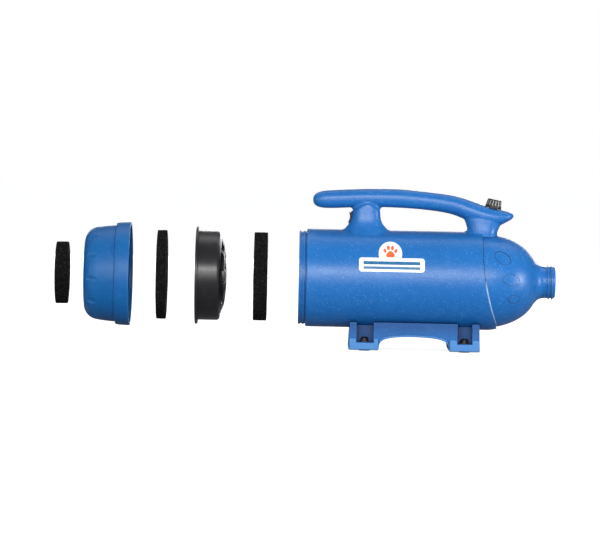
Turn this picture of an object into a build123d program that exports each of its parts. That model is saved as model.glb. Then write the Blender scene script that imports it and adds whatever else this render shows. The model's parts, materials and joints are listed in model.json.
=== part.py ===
from build123d import *
import math
import os

# Pet dryer: a barrel blower with an arched carrying handle, a foot cradle, and a rear
# intake made of a clip-on cap, three foam discs and a filter cup.
# +X runs along the barrel axis towards the hose outlet, +Z is up, and the rubber feet
# stand on Z = 0.  The near side is -Y.  The intake pieces are drawn pulled apart along
# the axis, in the order in which they are taken out for washing.
#
# Every place is given as a station (along the barrel from its open rear end, the
# spigot), a rise (above the barrel axis) and a side (+Y).  Outlines that are revolved
# round the barrel axis are (station, radius) points.

os.makedirs("parts", exist_ok=True)

# ---------------------------------------------------------------- shared dimensions
AXIS_Z = 111.5          # barrel axis above the floor
PREFILTER_REAR = -384.2     # rear face of the small foam disc, the rear extreme
COLLAR_END = 406.0      # end of the hose collar, the front extreme
X0 = -(PREFILTER_REAR + COLLAR_END) / 2.0   # X of station 0: the origin is at mid-length

BARREL_R = 77.5         # outside radius
BARREL_BORE = 74.0      # inside radius
SPIGOT_BORE = 70.9      # bore of the rear spigot that takes the filter cup
SHOULDER = 70.4         # station of the shoulder that the motor plate sits on

# barrel to nose joint: an arc seen from the side
SEAM_STATION, SEAM_RISE, SEAM_R = 588.0, 50.0, 300.0
GAP = 0.1               # clearance left between neighbouring pieces
SEAT_FIT = 0.4          # a seat or opening is this much wider than what it takes

SHAFT_R = 4.0
SHAFT_FIT = 0.02        # radial clearance of a part fixed on a shaft or in a bore
RUNNING_FIT = 0.05      # radial clearance of a running fit

# long screws that tie the motor spider and the barrel to the nose
TIE_R = 66.0            # pitch radius
TIE_ANGLES = (45, 135, 225, 315)
TIE_SHANK_R = 1.9
JOINT_STATION = 262.0   # front end of the barrel's tie bosses
SPIDER_STATION, SPIDER_T = 218.0, 4.1

PLATE_SCREW_PITCH_R = 67.2
PLATE_SCREW_COUNT = 4

# (station, side) of the cradle screws and of the feet
CRADLE_SCREWS = [(104.0, -12.0), (104.0, 12.0), (250.0, -12.0), (250.0, 12.0)]
FOOT_CENTRES = [(station, side) for station in (105.5, 263.0) for side in (-38.0, 38.0)]


# ---------------------------------------------------------------- planes and helpers
def side_view(y):
    """Upright plane facing -Y: local x is the station, local y the rise."""
    return Plane(origin=(X0, y, AXIS_Z), x_dir=(1, 0, 0), z_dir=(0, -1, 0))


def across(station, rise=0.0, side=0.0):
    """Plane square to the barrel axis: local x is +Y, local y is +Z."""
    return Plane(origin=(X0 + station, side, AXIS_Z + rise),
                 x_dir=(0, 1, 0), z_dir=(1, 0, 0))


def level(rise, station=0.0, side=0.0):
    """Horizontal plane: local x is +X, local y is +Y."""
    return Plane(origin=(X0 + station, side, AXIS_Z + rise),
                 x_dir=(1, 0, 0), z_dir=(0, 0, 1))


SIDE = side_view(0)
AXLE = Axis((0, 0, AXIS_Z), (1, 0, 0))


def polar(radius, degrees):
    angle = math.radians(degrees)
    return (radius * math.cos(angle), radius * math.sin(angle))


def annulus(outer, inner):
    """Draw a ring; to be called inside a sketch."""
    Circle(outer)
    Circle(inner, mode=Mode.SUBTRACT)


def grille_slots(rings, bar_length, bar_width, first_angle):
    """Draw rings of slots parted by six diametral bars; to be called inside a sketch."""
    for outer, inner in rings:
        annulus(outer, inner)
    for k in range(6):
        Rectangle(bar_length, bar_width, rotation=30 * k + first_angle,
                  mode=Mode.SUBTRACT)


def revolved(outline):
    """A whole piece turned from one closed outline."""
    with BuildPart() as turned:
        with BuildSketch(SIDE):
            with BuildLine():
                Polyline(*outline, close=True)
            make_face()
        revolve(axis=AXLE)
    return turned.part


def foam_disc(rear, radius, thickness):
    with BuildPart() as disc:
        with BuildSketch(across(rear)):
            Circle(radius)
        extrude(amount=thickness)
        chamfer(disc.edges(), 1.0)
    return disc.part


def socket_screws(seats, head_r, head_height, shank_r, length):
    """Screws with a hexagon socket; each shank leaves its seat along the plane's normal."""
    socket_floor = 1.2
    with BuildPart() as screws:
        for seat in seats:
            with BuildSketch(seat):
                Circle(head_r)
                RegularPolygon(shank_r, 6, mode=Mode.SUBTRACT)
            extrude(amount=-head_height)
            with BuildSketch(seat):
                Circle(shank_r)
            extrude(amount=length)
            with BuildSketch(seat):
                Circle(head_r)
            extrude(amount=-socket_floor)
    return screws.part


def oval(centre_x, centre_y, half_x, half_y, squareness):
    """Points round a superellipse: 2 is an ellipse, more is closer to a rectangle."""
    count = 20
    points = []
    for k in range(count):
        angle = 2 * math.pi * k / count
        cosine, sine = math.cos(angle), math.sin(angle)
        x = half_x * math.copysign(abs(cosine) ** (2 / squareness), cosine)
        y = half_y * math.copysign(abs(sine) ** (2 / squareness), sine)
        points.append((centre_x + x, centre_y + y))
    return points


def oval_loft(sections):
    """Loft through (plane, oval points) sections."""
    with BuildPart() as lofted:
        for plane, points in sections:
            with BuildSketch(plane):
                with BuildLine():
                    Spline(*points, periodic=True)
                make_face()
        loft()
    return lofted.part


def bar_loft(stations, skin=0.0):
    """Handle bar through its stations, smaller by skin all round."""
    return oval_loft([
        (across(station), oval(0, (top + bottom) / 2, width / 2 - skin,
                               (top - bottom) / 2 - skin, 2.3))
        for station, top, bottom, width in stations])


def leg_loft(levels):
    return oval_loft([
        (level(rise), oval((rear + front) / 2, 0, (front - rear) / 2, width / 2,
                           squareness))
        for rise, rear, front, width, squareness in levels])


def nose_side(shift=0.0):
    """Side section of all in front of the arched joint, moved forward by shift."""
    with BuildSketch(SIDE) as section:
        with Locations((SEAM_STATION, SEAM_RISE)):
            Circle(SEAM_R - shift)
    return section.sketch


def shifted(profile, shift):
    """(station, radius) points with their radius changed by shift."""
    return [(station, radius + shift) for station, radius in profile]


def save(part, name):
    part.label = name
    export_step(part, f"parts/{name}.step")


# ---------------------------------------------------------------- nose profile
# nose skin (station, radius), ending in the neck behind the hose collar
NOSE_PROFILE = [
    (262.0, 75.1), (285.0, 75.0), (300.0, 74.4), (316.0, 71.8), (330.0, 67.9),
    (345.0, 61.4), (357.0, 53.5), (366.0, 44.6), (371.5, 36.8), (376.0, 30.6),
    (382.0, 26.4), (390.0, 25.1),
]
NOSE_BAND = NOSE_PROFILE[:6]        # the stretch that holds the joint
BAND_START = NOSE_BAND[0][0]
BAND_END = NOSE_BAND[-1][0]
NOSE_STEP = 2.6         # the plug inside the barrel is this much below the nose skin

# ---------------------------------------------------------------- handle
# bar: station, top, bottom, width
BAR = [
    (20.4, 125.6, 122.4, 4.0), (21.6, 129.9, 118.0, 13.0), (25.0, 133.6, 114.3, 21.0),
    (30.5, 136.1, 112.0, 26.5), (40.0, 138.2, 110.7, 30.0), (49.5, 139.1, 110.7, 31.3),
    (60.0, 139.8, 111.1, 32.0), (72.0, 140.6, 111.8, 32.4), (85.0, 141.3, 112.6, 32.6),
    (110.0, 142.3, 113.5, 32.8), (135.0, 142.6, 113.7, 32.6),
    (160.0, 142.4, 113.2, 32.2), (185.0, 140.5, 112.0, 32.0),
    (210.0, 138.2, 109.8, 32.4), (230.0, 135.9, 107.0, 34.0),
    (246.0, 133.4, 103.0, 36.4), (260.0, 129.9, 97.5, 39.6),
    (275.0, 125.0, 92.0, 42.4), (290.0, 119.8, 88.6, 43.6),
    (305.0, 116.0, 87.6, 43.4), (316.0, 113.6, 88.6, 41.4),
    (325.0, 111.6, 92.8, 36.6), (331.5, 109.8, 96.4, 29.6),
    (336.0, 107.9, 99.6, 19.6), (338.2, 105.6, 102.4, 8.0),
]
BAR_SKIN = 3.2
# legs and their hollows: rise, rear edge, front edge, width, squareness
REAR_LEG = [
    (64.0, 60.0, 160.0, 74.0, 2.3), (70.0, 63.0, 151.5, 66.0, 2.3),
    (75.0, 67.0, 145.0, 58.5, 2.4), (79.5, 71.0, 139.6, 52.0, 2.5),
    (84.5, 75.4, 134.2, 46.2, 2.6), (90.0, 79.0, 130.6, 42.0, 2.8),
    (97.0, 81.4, 128.3, 39.0, 2.9), (105.0, 82.8, 127.6, 37.2, 2.8),
    (112.0, 86.0, 125.6, 36.2, 2.6), (117.0, 91.5, 121.5, 34.6, 2.4),
    (121.0, 99.0, 116.0, 30.0, 2.2),
]
REAR_LEG_CORE = [
    (64, 84, 124, 26, 3.2), (76, 84, 124, 26, 3.2), (90, 84.4, 124.6, 28, 3.2),
    (100, 86, 124.2, 29, 3.2), (110, 89, 122, 28, 3.2), (117, 93, 119, 25, 3.2),
    (124, 96, 116, 20, 3.2),
]
FRONT_LEG = [
    (62.0, 262.0, 318.0, 60.0, 2.4), (69.0, 264.6, 314.4, 54.0, 2.4),
    (76.0, 265.6, 313.2, 48.6, 2.5), (84.5, 264.6, 315.6, 44.6, 2.6),
    (92.0, 262.4, 320.5, 43.2, 2.7), (100.0, 259.0, 326.0, 42.0, 2.6),
    (107.0, 262.0, 320.0, 38.0, 2.4),
]
FRONT_LEG_CORE = [
    (80.5, 267.5, 311.0, 36, 3.0), (88, 267, 314, 37, 3.0), (96, 265, 318, 36, 3.0),
    (104, 266, 316, 32, 3.0),
]

bar_body = bar_loft(BAR)
bar_core = bar_loft(BAR[4:-4], BAR_SKIN)
rear_leg_body = leg_loft(REAR_LEG)
rear_leg_core = leg_loft(REAR_LEG_CORE)
front_leg_body = leg_loft(FRONT_LEG)
front_leg_core = leg_loft(FRONT_LEG_CORE)

# nose skin grown by a small gap, in front of the joint: the front leg's foot clears it
with BuildPart() as nose_room:
    with BuildSketch(SIDE):
        with BuildLine():
            Spline(*shifted(NOSE_BAND, 0.5))
            Polyline((BAND_END, 61.9), (BAND_END, 0), (BAND_START, 0),
                     (BAND_START, 75.6))
        make_face()
    revolve(axis=AXLE)
    extrude(nose_side(0.0), amount=120, both=True, mode=Mode.INTERSECT)

# ---------------------------------------------------------------- seats in the handle
# rocker switch: faces the rear, leaning upwards
SWITCH_LEAN = math.radians(13)
SWITCH = Plane(origin=(X0 + 80.4, 0, AXIS_Z + 96.8), x_dir=(0, 1, 0),
               z_dir=(-math.cos(SWITCH_LEAN), 0, math.sin(SWITCH_LEAN)))
SWITCH_BEZEL = (15.0, 21.0)
SWITCH_BODY = (13.0, 19.0)

# speed knob: on top of the bar's front end, leaning forward
KNOB_LEAN = math.radians(11)
KNOB = Plane(origin=(X0 + 305.2, 0, AXIS_Z + 115.0),
             x_dir=(math.cos(KNOB_LEAN), 0, -math.sin(KNOB_LEAN)),
             z_dir=(math.sin(KNOB_LEAN), 0, math.cos(KNOB_LEAN)))
KNOB_SEAT_DEPTH = 9

# power inlet: on the far side of the rear leg
INLET_FLANGE = (27.0, 21.0)
INLET_BODY = (22.0, 16.0)


def inlet_plane(y):
    """Plane facing +Y, centred on the power inlet; local y points down."""
    return Plane(origin=(X0 + 113.4, y, AXIS_Z + 96.5), x_dir=(1, 0, 0),
                 z_dir=(0, 1, 0))


def centred_at(edge, station, rise):
    """Whether the edge's bounding box is centred near this place in the side view."""
    box = edge.bounding_box()
    return (abs((box.min.X + box.max.X) / 2 - X0 - station) < 2.5
            and abs((box.min.Z + box.max.Z) / 2 - AXIS_Z - rise) < 2.5)


# ---------------------------------------------------------------- body shell
# ribbed spigot, then the step up to the barrel
BARREL_OUTLINE = [
    (0, 0), (0, 73.4), (0.6, 74.0), (2.6, 74.0), (3.2, 73.4), (3.2, 72.9),
    (6.6, 72.9), (6.6, 73.4), (7.2, 74.0), (9.2, 74.0), (9.8, 73.4),
    (9.8, 72.9), (11.2, 72.9), (11.4, 75.0), (12.0, 76.6), (12.8, 77.3),
    (13.8, BARREL_R), (298, BARREL_R),
]
BARREL_FRONT = [(298, BARREL_R), (306, 77.0), (314, 75.4), (322, 72.6), (330, 68.8)]
BORE_OUTLINE = [
    (BAND_START, 72.6), (BAND_START, BARREL_BORE), (86, BARREL_BORE), (79.6, 63.5),
    (SHOULDER, 63.5), (SHOULDER, SPIGOT_BORE), (0.6, SPIGOT_BORE), (-0.5, 72.0),
    (-5, 72.0), (-5, 0), (BAND_END, 0), (BAND_END, 58.9),
]
BARREL_BOSS_START = SPIDER_STATION + SPIDER_T + GAP

with BuildPart() as body_shell:
    # barrel with its rear spigot; the front end is cut to the arched joint
    with BuildSketch(SIDE):
        with BuildLine():
            Polyline(*BARREL_OUTLINE)
            Spline(*BARREL_FRONT, tangents=[(1, 0), (1, -0.55)])
            Polyline((330, 68.8), (330, 0), (0, 0))
        make_face()
    revolve(axis=AXLE)
    extrude(nose_side(-GAP), amount=120, both=True, mode=Mode.SUBTRACT)
    add(rear_leg_body)
    add(front_leg_body)
    add(bar_body)
    # soft junctions: rear leg to bar, front leg to bar, rear and front leg to barrel
    fillet(body_shell.edges().filter_by(lambda e: centred_at(e, 105.5, 116.8)), 4.5)
    fillet(body_shell.edges().filter_by(lambda e: centred_at(e, 289.5, 95.0)), 6.0)
    fillet(body_shell.edges().filter_by(
        lambda e: e.length > 60 and centred_at(e, 105.6, 73.8)), 8.0)
    fillet(body_shell.edges().filter_by(
        lambda e: e.length > 20 and centred_at(e, 277.8, 75.5)), 6.0)
    add(nose_room.part, mode=Mode.SUBTRACT)
    # filter spigot, motor shoulder, main bore and joint band
    with BuildSketch(SIDE):
        with BuildLine():
            Polyline(*BORE_OUTLINE)
            Spline(*shifted(NOSE_BAND, GAP - NOSE_STEP))
        make_face()
    revolve(axis=AXLE, mode=Mode.SUBTRACT)
    # hollow handle
    add(bar_core, mode=Mode.SUBTRACT)
    add(rear_leg_core, mode=Mode.SUBTRACT)
    add(front_leg_core, mode=Mode.SUBTRACT)
    # wire duct from the front leg down into the barrel
    with BuildSketch(level(60, 270.7)):
        Rectangle(5.6, 16)
    extrude(amount=24, mode=Mode.SUBTRACT)
    # switch seat and opening
    with BuildSketch(SWITCH.offset(-0.8)):
        RectangleRounded(SWITCH_BEZEL[0] + SEAT_FIT, SWITCH_BEZEL[1] + SEAT_FIT, 1.2)
    extrude(amount=8, mode=Mode.SUBTRACT)
    with BuildSketch(SWITCH.offset(-0.8)):
        Rectangle(SWITCH_BODY[0] + SEAT_FIT, SWITCH_BODY[1] + SEAT_FIT)
    extrude(amount=-9, mode=Mode.SUBTRACT)
    # power inlet opening and seat
    with BuildSketch(inlet_plane(3)):
        Rectangle(INLET_BODY[0] + SEAT_FIT, INLET_BODY[1] + SEAT_FIT)
    extrude(amount=21, mode=Mode.SUBTRACT)
    with BuildSketch(inlet_plane(18.2)):
        RectangleRounded(INLET_FLANGE[0] + SEAT_FIT, INLET_FLANGE[1] + SEAT_FIT, 2.0)
    extrude(amount=12, mode=Mode.SUBTRACT)
    # speed control seat and bush hole
    with BuildSketch(KNOB):
        Circle(14.2)
    extrude(amount=KNOB_SEAT_DEPTH, mode=Mode.SUBTRACT)
    with BuildSketch(KNOB.offset(-KNOB_SEAT_DEPTH)):
        Circle(4.7)
    extrude(amount=12, mode=Mode.SUBTRACT)
    # tie screw bosses, each with a web out to the barrel wall
    for angle in TIE_ANGLES:
        with BuildSketch(across(BARREL_BOSS_START)):
            with Locations(polar(TIE_R, angle)):
                Circle(6)
            with Locations(polar(TIE_R + 5, angle)):
                Rectangle(9, 10, rotation=angle)
        extrude(amount=JOINT_STATION - BARREL_BOSS_START)
        with BuildSketch(across(220)):
            with Locations(polar(TIE_R, angle)):
                Circle(2.3)
        extrude(amount=45, mode=Mode.SUBTRACT)
    # pilot holes for the motor plate
    with BuildSketch(across(SHOULDER)):
        with PolarLocations(PLATE_SCREW_PITCH_R, PLATE_SCREW_COUNT):
            Circle(1.5)
    extrude(amount=6.4, mode=Mode.SUBTRACT)
    # cradle screw bosses
    for station, side in CRADLE_SCREWS:
        with BuildSketch(level(-74.6, station, side)):
            Circle(4.8)
        extrude(amount=8)
        with BuildSketch(level(-80, station, side)):
            Circle(1.75)
        extrude(amount=12, mode=Mode.SUBTRACT)
save(body_shell.part, "body_shell")

# ---------------------------------------------------------------- nose shell
# engraved ovals: centre station, rise, half axes, turn in degrees
NOSE_OVALS = [
    (319.4, 39.0, 14.6, 9.2, -32),
    (332.5, 5.2, 14.4, 9.4, -12),
    (338.2, -25.4, 9.4, 7.4, 0),
]
OVAL_LINE = 1.5         # width of the engraved line
OVAL_DEPTH = 0.95

COLLAR_ROOT_R = 24.9
COLLAR_CREST_R = 27.0
THREAD_PITCH = 5.6
THREAD_BASE_R = COLLAR_ROOT_R - 0.5     # the thread starts below the collar's surface
THREAD_HEIGHT = COLLAR_CREST_R - THREAD_BASE_R

OUTLET_R = 21.0         # smooth bore of the hose collar
NOSE_BORE = [
    (262, 69.5), (285, 69.4), (300, 68.9), (316, 66.4), (330, 62.8), (345, 56.6),
    (357, 48.9), (365, 40.6), (370.5, 32.4), (376.5, OUTLET_R),
]
SEAL_GROOVE = (275.8, 278.4)    # from station to station
SEAL_GROOVE_R = 71.0            # radius of its floor

with BuildPart() as nose_marks:
    # thin band that follows the nose skin, kept only along three oval outlines
    with BuildSketch(SIDE):
        with BuildLine():
            Spline(*shifted(NOSE_PROFILE, -OVAL_DEPTH), tangents=[(1, 0), (1, 0)])
            Line((390.0, 24.15), (390.0, 27.1))
            Spline(*reversed(shifted(NOSE_PROFILE, 2.0)),
                   tangents=[(-1, 0), (-1, 0)])
            Line((262.0, 77.1), (262.0, 74.15))
        make_face()
    revolve(axis=AXLE)
    with BuildSketch(SIDE):
        for station, rise, half_long, half_short, turn in NOSE_OVALS:
            with Locations((station, rise)):
                Ellipse(half_long, half_short, rotation=turn)
                Ellipse(half_long - OVAL_LINE, half_short - OVAL_LINE, rotation=turn,
                        mode=Mode.SUBTRACT)
    extrude(amount=90, mode=Mode.INTERSECT)

with BuildPart() as seam_gap:
    # shadow gap all round the joint, cut into the edge of the nose skin
    gap_floor = shifted(NOSE_BAND, -1.1)
    with BuildSketch(SIDE):
        with BuildLine():
            Spline(*gap_floor)
            Polyline(gap_floor[-1], (BAND_END, 80.0), (BAND_START, 80.0), gap_floor[0])
        make_face()
    revolve(axis=AXLE)
    extrude(nose_side(1.3), amount=120, both=True, mode=Mode.SUBTRACT)

with BuildPart() as nose_shell:
    # skin and hose collar, in front of the joint
    with BuildSketch(SIDE):
        with BuildLine():
            Spline(*NOSE_PROFILE, tangents=[(1, 0), (1, 0)])
            Polyline((390, 25.1), (391.5, COLLAR_ROOT_R), (404.6, COLLAR_ROOT_R),
                     (COLLAR_END, 23.6), (COLLAR_END, 0), (262, 0), (262, 75.1))
        make_face()
    revolve(axis=AXLE)
    extrude(nose_side(GAP), amount=120, both=True, mode=Mode.INTERSECT)
    # plug that fits inside the barrel
    with BuildSketch(SIDE):
        with BuildLine():
            Spline(*shifted(NOSE_BAND, -NOSE_STEP))
            Polyline((BAND_END, 58.8), (BAND_END, 0), (BAND_START, 0),
                     (BAND_START, 72.5))
        make_face()
    revolve(axis=AXLE)
    # hose collar thread
    thread_path = Helix(pitch=THREAD_PITCH, height=10.6, radius=THREAD_BASE_R,
                        center=(X0 + 393.4, 0, AXIS_Z), direction=(1, 0, 0),
                        mode=Mode.PRIVATE)
    with BuildSketch(Plane(origin=thread_path @ 0, x_dir=(1, 0, 0),
                           z_dir=thread_path % 0)):
        with BuildLine():
            Polyline((-1.9, 0), (-0.7, THREAD_HEIGHT), (0.7, THREAD_HEIGHT), (1.9, 0),
                     close=True)
        make_face()
    sweep(path=thread_path, is_frenet=True)
    # inside
    with BuildSketch(SIDE):
        with BuildLine():
            Polyline((255, 0), (255, 69.5), (262, 69.5))
            Spline(*NOSE_BORE)
            Polyline((376.5, OUTLET_R), (405.2, OUTLET_R), (406.2, 22.0), (410, 22.0),
                     (410, 0), (255, 0))
        make_face()
    revolve(axis=AXLE, mode=Mode.SUBTRACT)
    # screw bosses
    for angle in TIE_ANGLES:
        with BuildSketch(across(JOINT_STATION + 0.2)):
            with Locations(polar(TIE_R, angle)):
                Circle(5.4)
        extrude(amount=20)
        with BuildSketch(across(JOINT_STATION)):
            with Locations(polar(TIE_R, angle)):
                Circle(TIE_SHANK_R + RUNNING_FIT)
        extrude(amount=17, mode=Mode.SUBTRACT)
    # rear face of the plug, just clear of the barrel's bosses
    with BuildSketch(across(255)):
        Circle(80)
    extrude(amount=7.2, mode=Mode.SUBTRACT)
    # notch for the wires
    with BuildSketch(level(60, 267.0)):
        Rectangle(14, 20)
    extrude(amount=20, mode=Mode.SUBTRACT)
    # groove for the seal
    with BuildSketch(SIDE):
        with BuildLine():
            Polyline((SEAL_GROOVE[0], SEAL_GROOVE_R), (SEAL_GROOVE[1], SEAL_GROOVE_R),
                     (SEAL_GROOVE[1], 80), (SEAL_GROOVE[0], 80), close=True)
        make_face()
    revolve(axis=AXLE, mode=Mode.SUBTRACT)
    # three engraved ovals on the near side, and the gap at the joint
    add(nose_marks.part, mode=Mode.SUBTRACT)
    add(seam_gap.part, mode=Mode.SUBTRACT)
save(nose_shell.part, "nose_shell")

seal_rear, seal_front = SEAL_GROOVE[0] + GAP, SEAL_GROOVE[1] - GAP
seal_inner, seal_outer = SEAL_GROOVE_R + GAP, 72.45
save(revolved([(seal_rear, seal_inner), (seal_front, seal_inner),
               (seal_front, seal_outer), (seal_rear, seal_outer)]), "nose_seal")

# ---------------------------------------------------------------- rear cap
CAP_REAR = -338.4
CAP_STEP = -286.4       # internal shoulder that clamps the cup's flange
CAP_RECESS = [(-318.2, 0), (-318.2, 49.9), (-337.8, 49.9), (CAP_REAR, 50.6),
              (CAP_REAR, 54.0)]
CAP_BOWL = [
    (CAP_REAR, 54.0), (-336.6, 60.6), (-333.2, 65.6), (-328.8, 69.5), (-322.6, 72.3),
    (-314.4, 73.9), (-304.8, 75.1), (-295.2, 76.0), (-290.4, 76.3),
]
# the rim, then back along the inside to the recess floor
CAP_RIM_AND_INSIDE = [
    (-290.4, 76.3), (-289.6, 76.3), (-289.1, 79.4), (-288.0, 80.5), (-283.0, 81.1),
    (-270.0, 81.8), (-267.2, 81.8), (-266.4, 81.2), (-266.4, 78.0), (-267.0, 77.6),
    (-272.2, 77.6), (-273.6, 79.0), (CAP_STEP, 79.0), (CAP_STEP, 73.3),
    (-300.0, 72.9), (-309.0, 72.1), (-316.0, 70.6), (-324.0, 67.4), (-329.0, 63.6),
    (-332.8, 58.6), (-335.0, 53.0), (-315.2, 53.0), (-315.2, 0), (-318.2, 0),
]
CAP_GRILLE = [(46.5, 34.0), (31.0, 18.5), (15.5, 6.5)]     # slot rings: outer, inner
FLUTE_COUNT = 12
FLUTE_LEAN = math.radians(24)

with BuildPart() as flute:
    # shallow scallop cutter that fades out along the bowl
    with BuildSketch(Plane(origin=(X0 - 352.0, 0, AXIS_Z + 67.3), x_dir=(0, 1, 0),
                           z_dir=(math.cos(FLUTE_LEAN), 0, math.sin(FLUTE_LEAN)))):
        Circle(9.0)
    extrude(amount=80)

with BuildPart() as rear_cap:
    with BuildSketch(SIDE):
        with BuildLine():
            Polyline(*CAP_RECESS)
            Spline(*CAP_BOWL, tangents=[(0, 1), (1, 0.06)])
            Polyline(*CAP_RIM_AND_INSIDE)
        make_face()
    revolve(axis=AXLE)
    # intake grille in the floor of the small foam's recess
    with BuildSketch(across(-319.0)):
        grille_slots(CAP_GRILLE, bar_length=110, bar_width=3.2, first_angle=0)
    extrude(amount=5, mode=Mode.SUBTRACT)
    for k in range(FLUTE_COUNT):
        add(flute.part.rotate(AXLE, 5 + 360 / FLUTE_COUNT * k), mode=Mode.SUBTRACT)
save(rear_cap.part, "rear_cap")

# ---------------------------------------------------------------- filter cup
CUP_R = 70.55
CUP_OUTLINE = [
    (-163.0, 68.1), (-163.0, 76.4), (-162.2, 77.2), (-159.6, 77.2), (-158.8, 76.4),
    (-158.8, CUP_R), (-128.4, CUP_R), (-125.4, 69.2), (-124.0, 66.2), (-124.0, 60.0),
    (-126.8, 60.0), (-126.8, 66.6), (-128.6, 68.1),
]
DOME_FRONT = [(-124.0, 62.5), (-119.4, 52.0), (-116.0, 35.0), (-114.4, 16.0),
              (-114.2, 0)]
DOME_REAR = [(-117.4, 0), (-117.6, 16.0), (-119.2, 35.0), (-122.6, 51.0),
             (-126.8, 61.0)]
CUP_GRILLE = [(58.5, 45.0), (41.8, 28.0), (24.8, 11.0)]    # slot rings: outer, inner

with BuildPart() as filter_cup:
    # flanged wall
    with BuildSketch(SIDE):
        with BuildLine():
            Polyline(*CUP_OUTLINE, close=True)
        make_face()
    revolve(axis=AXLE)
    # domed grille
    with BuildSketch(SIDE):
        with BuildLine():
            Spline(*DOME_FRONT, tangents=[(0.35, -1), (0, -1)])
            Line(DOME_FRONT[-1], DOME_REAR[0])
            Spline(*DOME_REAR, tangents=[(0, 1), (-0.45, 1)])
            Line(DOME_REAR[-1], DOME_FRONT[0])
        make_face()
    revolve(axis=AXLE)
    with BuildSketch(across(-130.0)):
        grille_slots(CUP_GRILLE, bar_length=140, bar_width=4.4, first_angle=15)
    extrude(amount=20, mode=Mode.SUBTRACT)
save(filter_cup.part, "filter_cup")

# ---------------------------------------------------------------- foam discs
save(foam_disc(PREFILTER_REAR, radius=49.3, thickness=19.5), "prefilter_foam")
save(foam_disc(-224.5, radius=70.6, thickness=15.4), "outer_foam_disc")
save(foam_disc(-71.4, radius=70.2, thickness=21.8), "inner_foam_disc")

# ---------------------------------------------------------------- foot cradle
# foot block (rear, front) and its screw pocket (rear, front), as stations
FEET = (
    ((81.2, 127.4), (92.6, 119.8)),
    ((239.4, 286.8), (251.6, 275.0)),
)
# under edge of the rails and top of the raised band on them: station, rise
ARCH = [(236.2, -98.8), (231.0, -94.6), (222.0, -91.6), (208.0, -89.7),
        (190.0, -88.8), (168.0, -88.8), (152.0, -90.0), (141.0, -92.0),
        (133.4, -95.4), (130.0, -98.6)]
ARCH_TOP = [(238.0, -96.2), (232.4, -91.4), (222.8, -88.2), (208.2, -86.3),
            (190.0, -85.4), (168.0, -85.4), (151.6, -86.6), (139.8, -88.7),
            (131.4, -92.4), (127.9, -95.8)]
# rest of the rail's outline, from the front to the rear end of the arch
ARCH_FRONT_END = [(238.6, -108.6), (237.6, -102.0), (236.2, -98.8)]
RAIL_OUTLINE = [
    (130.0, -98.6), (128.8, -102.0), (128.0, -108.6), (126.4, -110.3), (82.2, -110.3),
    (80.5, -108.6), (82.4, -68.6), (84.2, -66.8), (284.2, -66.8), (286.0, -68.6),
    (287.4, -108.6), (285.8, -110.3), (240.4, -110.3), (238.6, -108.6),
]
CRADLE_HALF_WIDTH = 48.0
CRADLE_BOTTOM = -110.3
POCKET_FLOOR = -98.5
LIP_TOP, LIP_BEVEL = -92.0, 1.4     # rise of the lips, and of their cut corners
LIP_ROOT = 47.0         # lips and bands start this far either side of the middle
LIP_FACE = 50.4
BAND_FACE = 49.8
CUT_BELOW = -112        # below the whole cradle

with BuildPart() as foot_lips:
    # raised lip round the lower half of each pocket, with bevelled outer edges
    for (foot_rear, foot_front), (pocket_rear, pocket_front) in FEET:
        for side in (-1, 1):
            with BuildSketch(side_view(side * LIP_ROOT)):
                with BuildLine():
                    Polyline(
                        (foot_rear, CRADLE_BOTTOM),
                        (foot_rear, LIP_TOP - LIP_BEVEL),
                        (foot_rear + LIP_BEVEL, LIP_TOP),
                        (pocket_rear - LIP_BEVEL, LIP_TOP),
                        (pocket_rear, LIP_TOP - LIP_BEVEL),
                        (pocket_rear, POCKET_FLOOR),
                        (pocket_front, POCKET_FLOOR),
                        (pocket_front, LIP_TOP - LIP_BEVEL),
                        (pocket_front + LIP_BEVEL, LIP_TOP),
                        (foot_front - LIP_BEVEL, LIP_TOP),
                        (foot_front, LIP_TOP - LIP_BEVEL),
                        (foot_front, CRADLE_BOTTOM),
                        close=True)
                make_face()
            extrude(amount=-side * (LIP_FACE - LIP_ROOT))
    chamfer(foot_lips.faces().filter_by(
        lambda f: abs(abs(f.center().Y) - LIP_FACE) < 0.01).edges(), 1.3)

with BuildPart() as arch_bands:
    # narrow raised band that follows the arch on both sides
    for side in (-1, 1):
        with BuildSketch(side_view(side * LIP_ROOT)):
            with BuildLine():
                Spline(*ARCH)
                Line(ARCH[-1], ARCH_TOP[-1])
                Spline(*reversed(ARCH_TOP))
                Line(ARCH_TOP[0], ARCH[0])
            make_face()
        extrude(amount=-side * (BAND_FACE - LIP_ROOT))
    chamfer(arch_bands.faces().filter_by(
        lambda f: abs(abs(f.center().Y) - BAND_FACE) < 0.01).edges(), 1.1)

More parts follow.
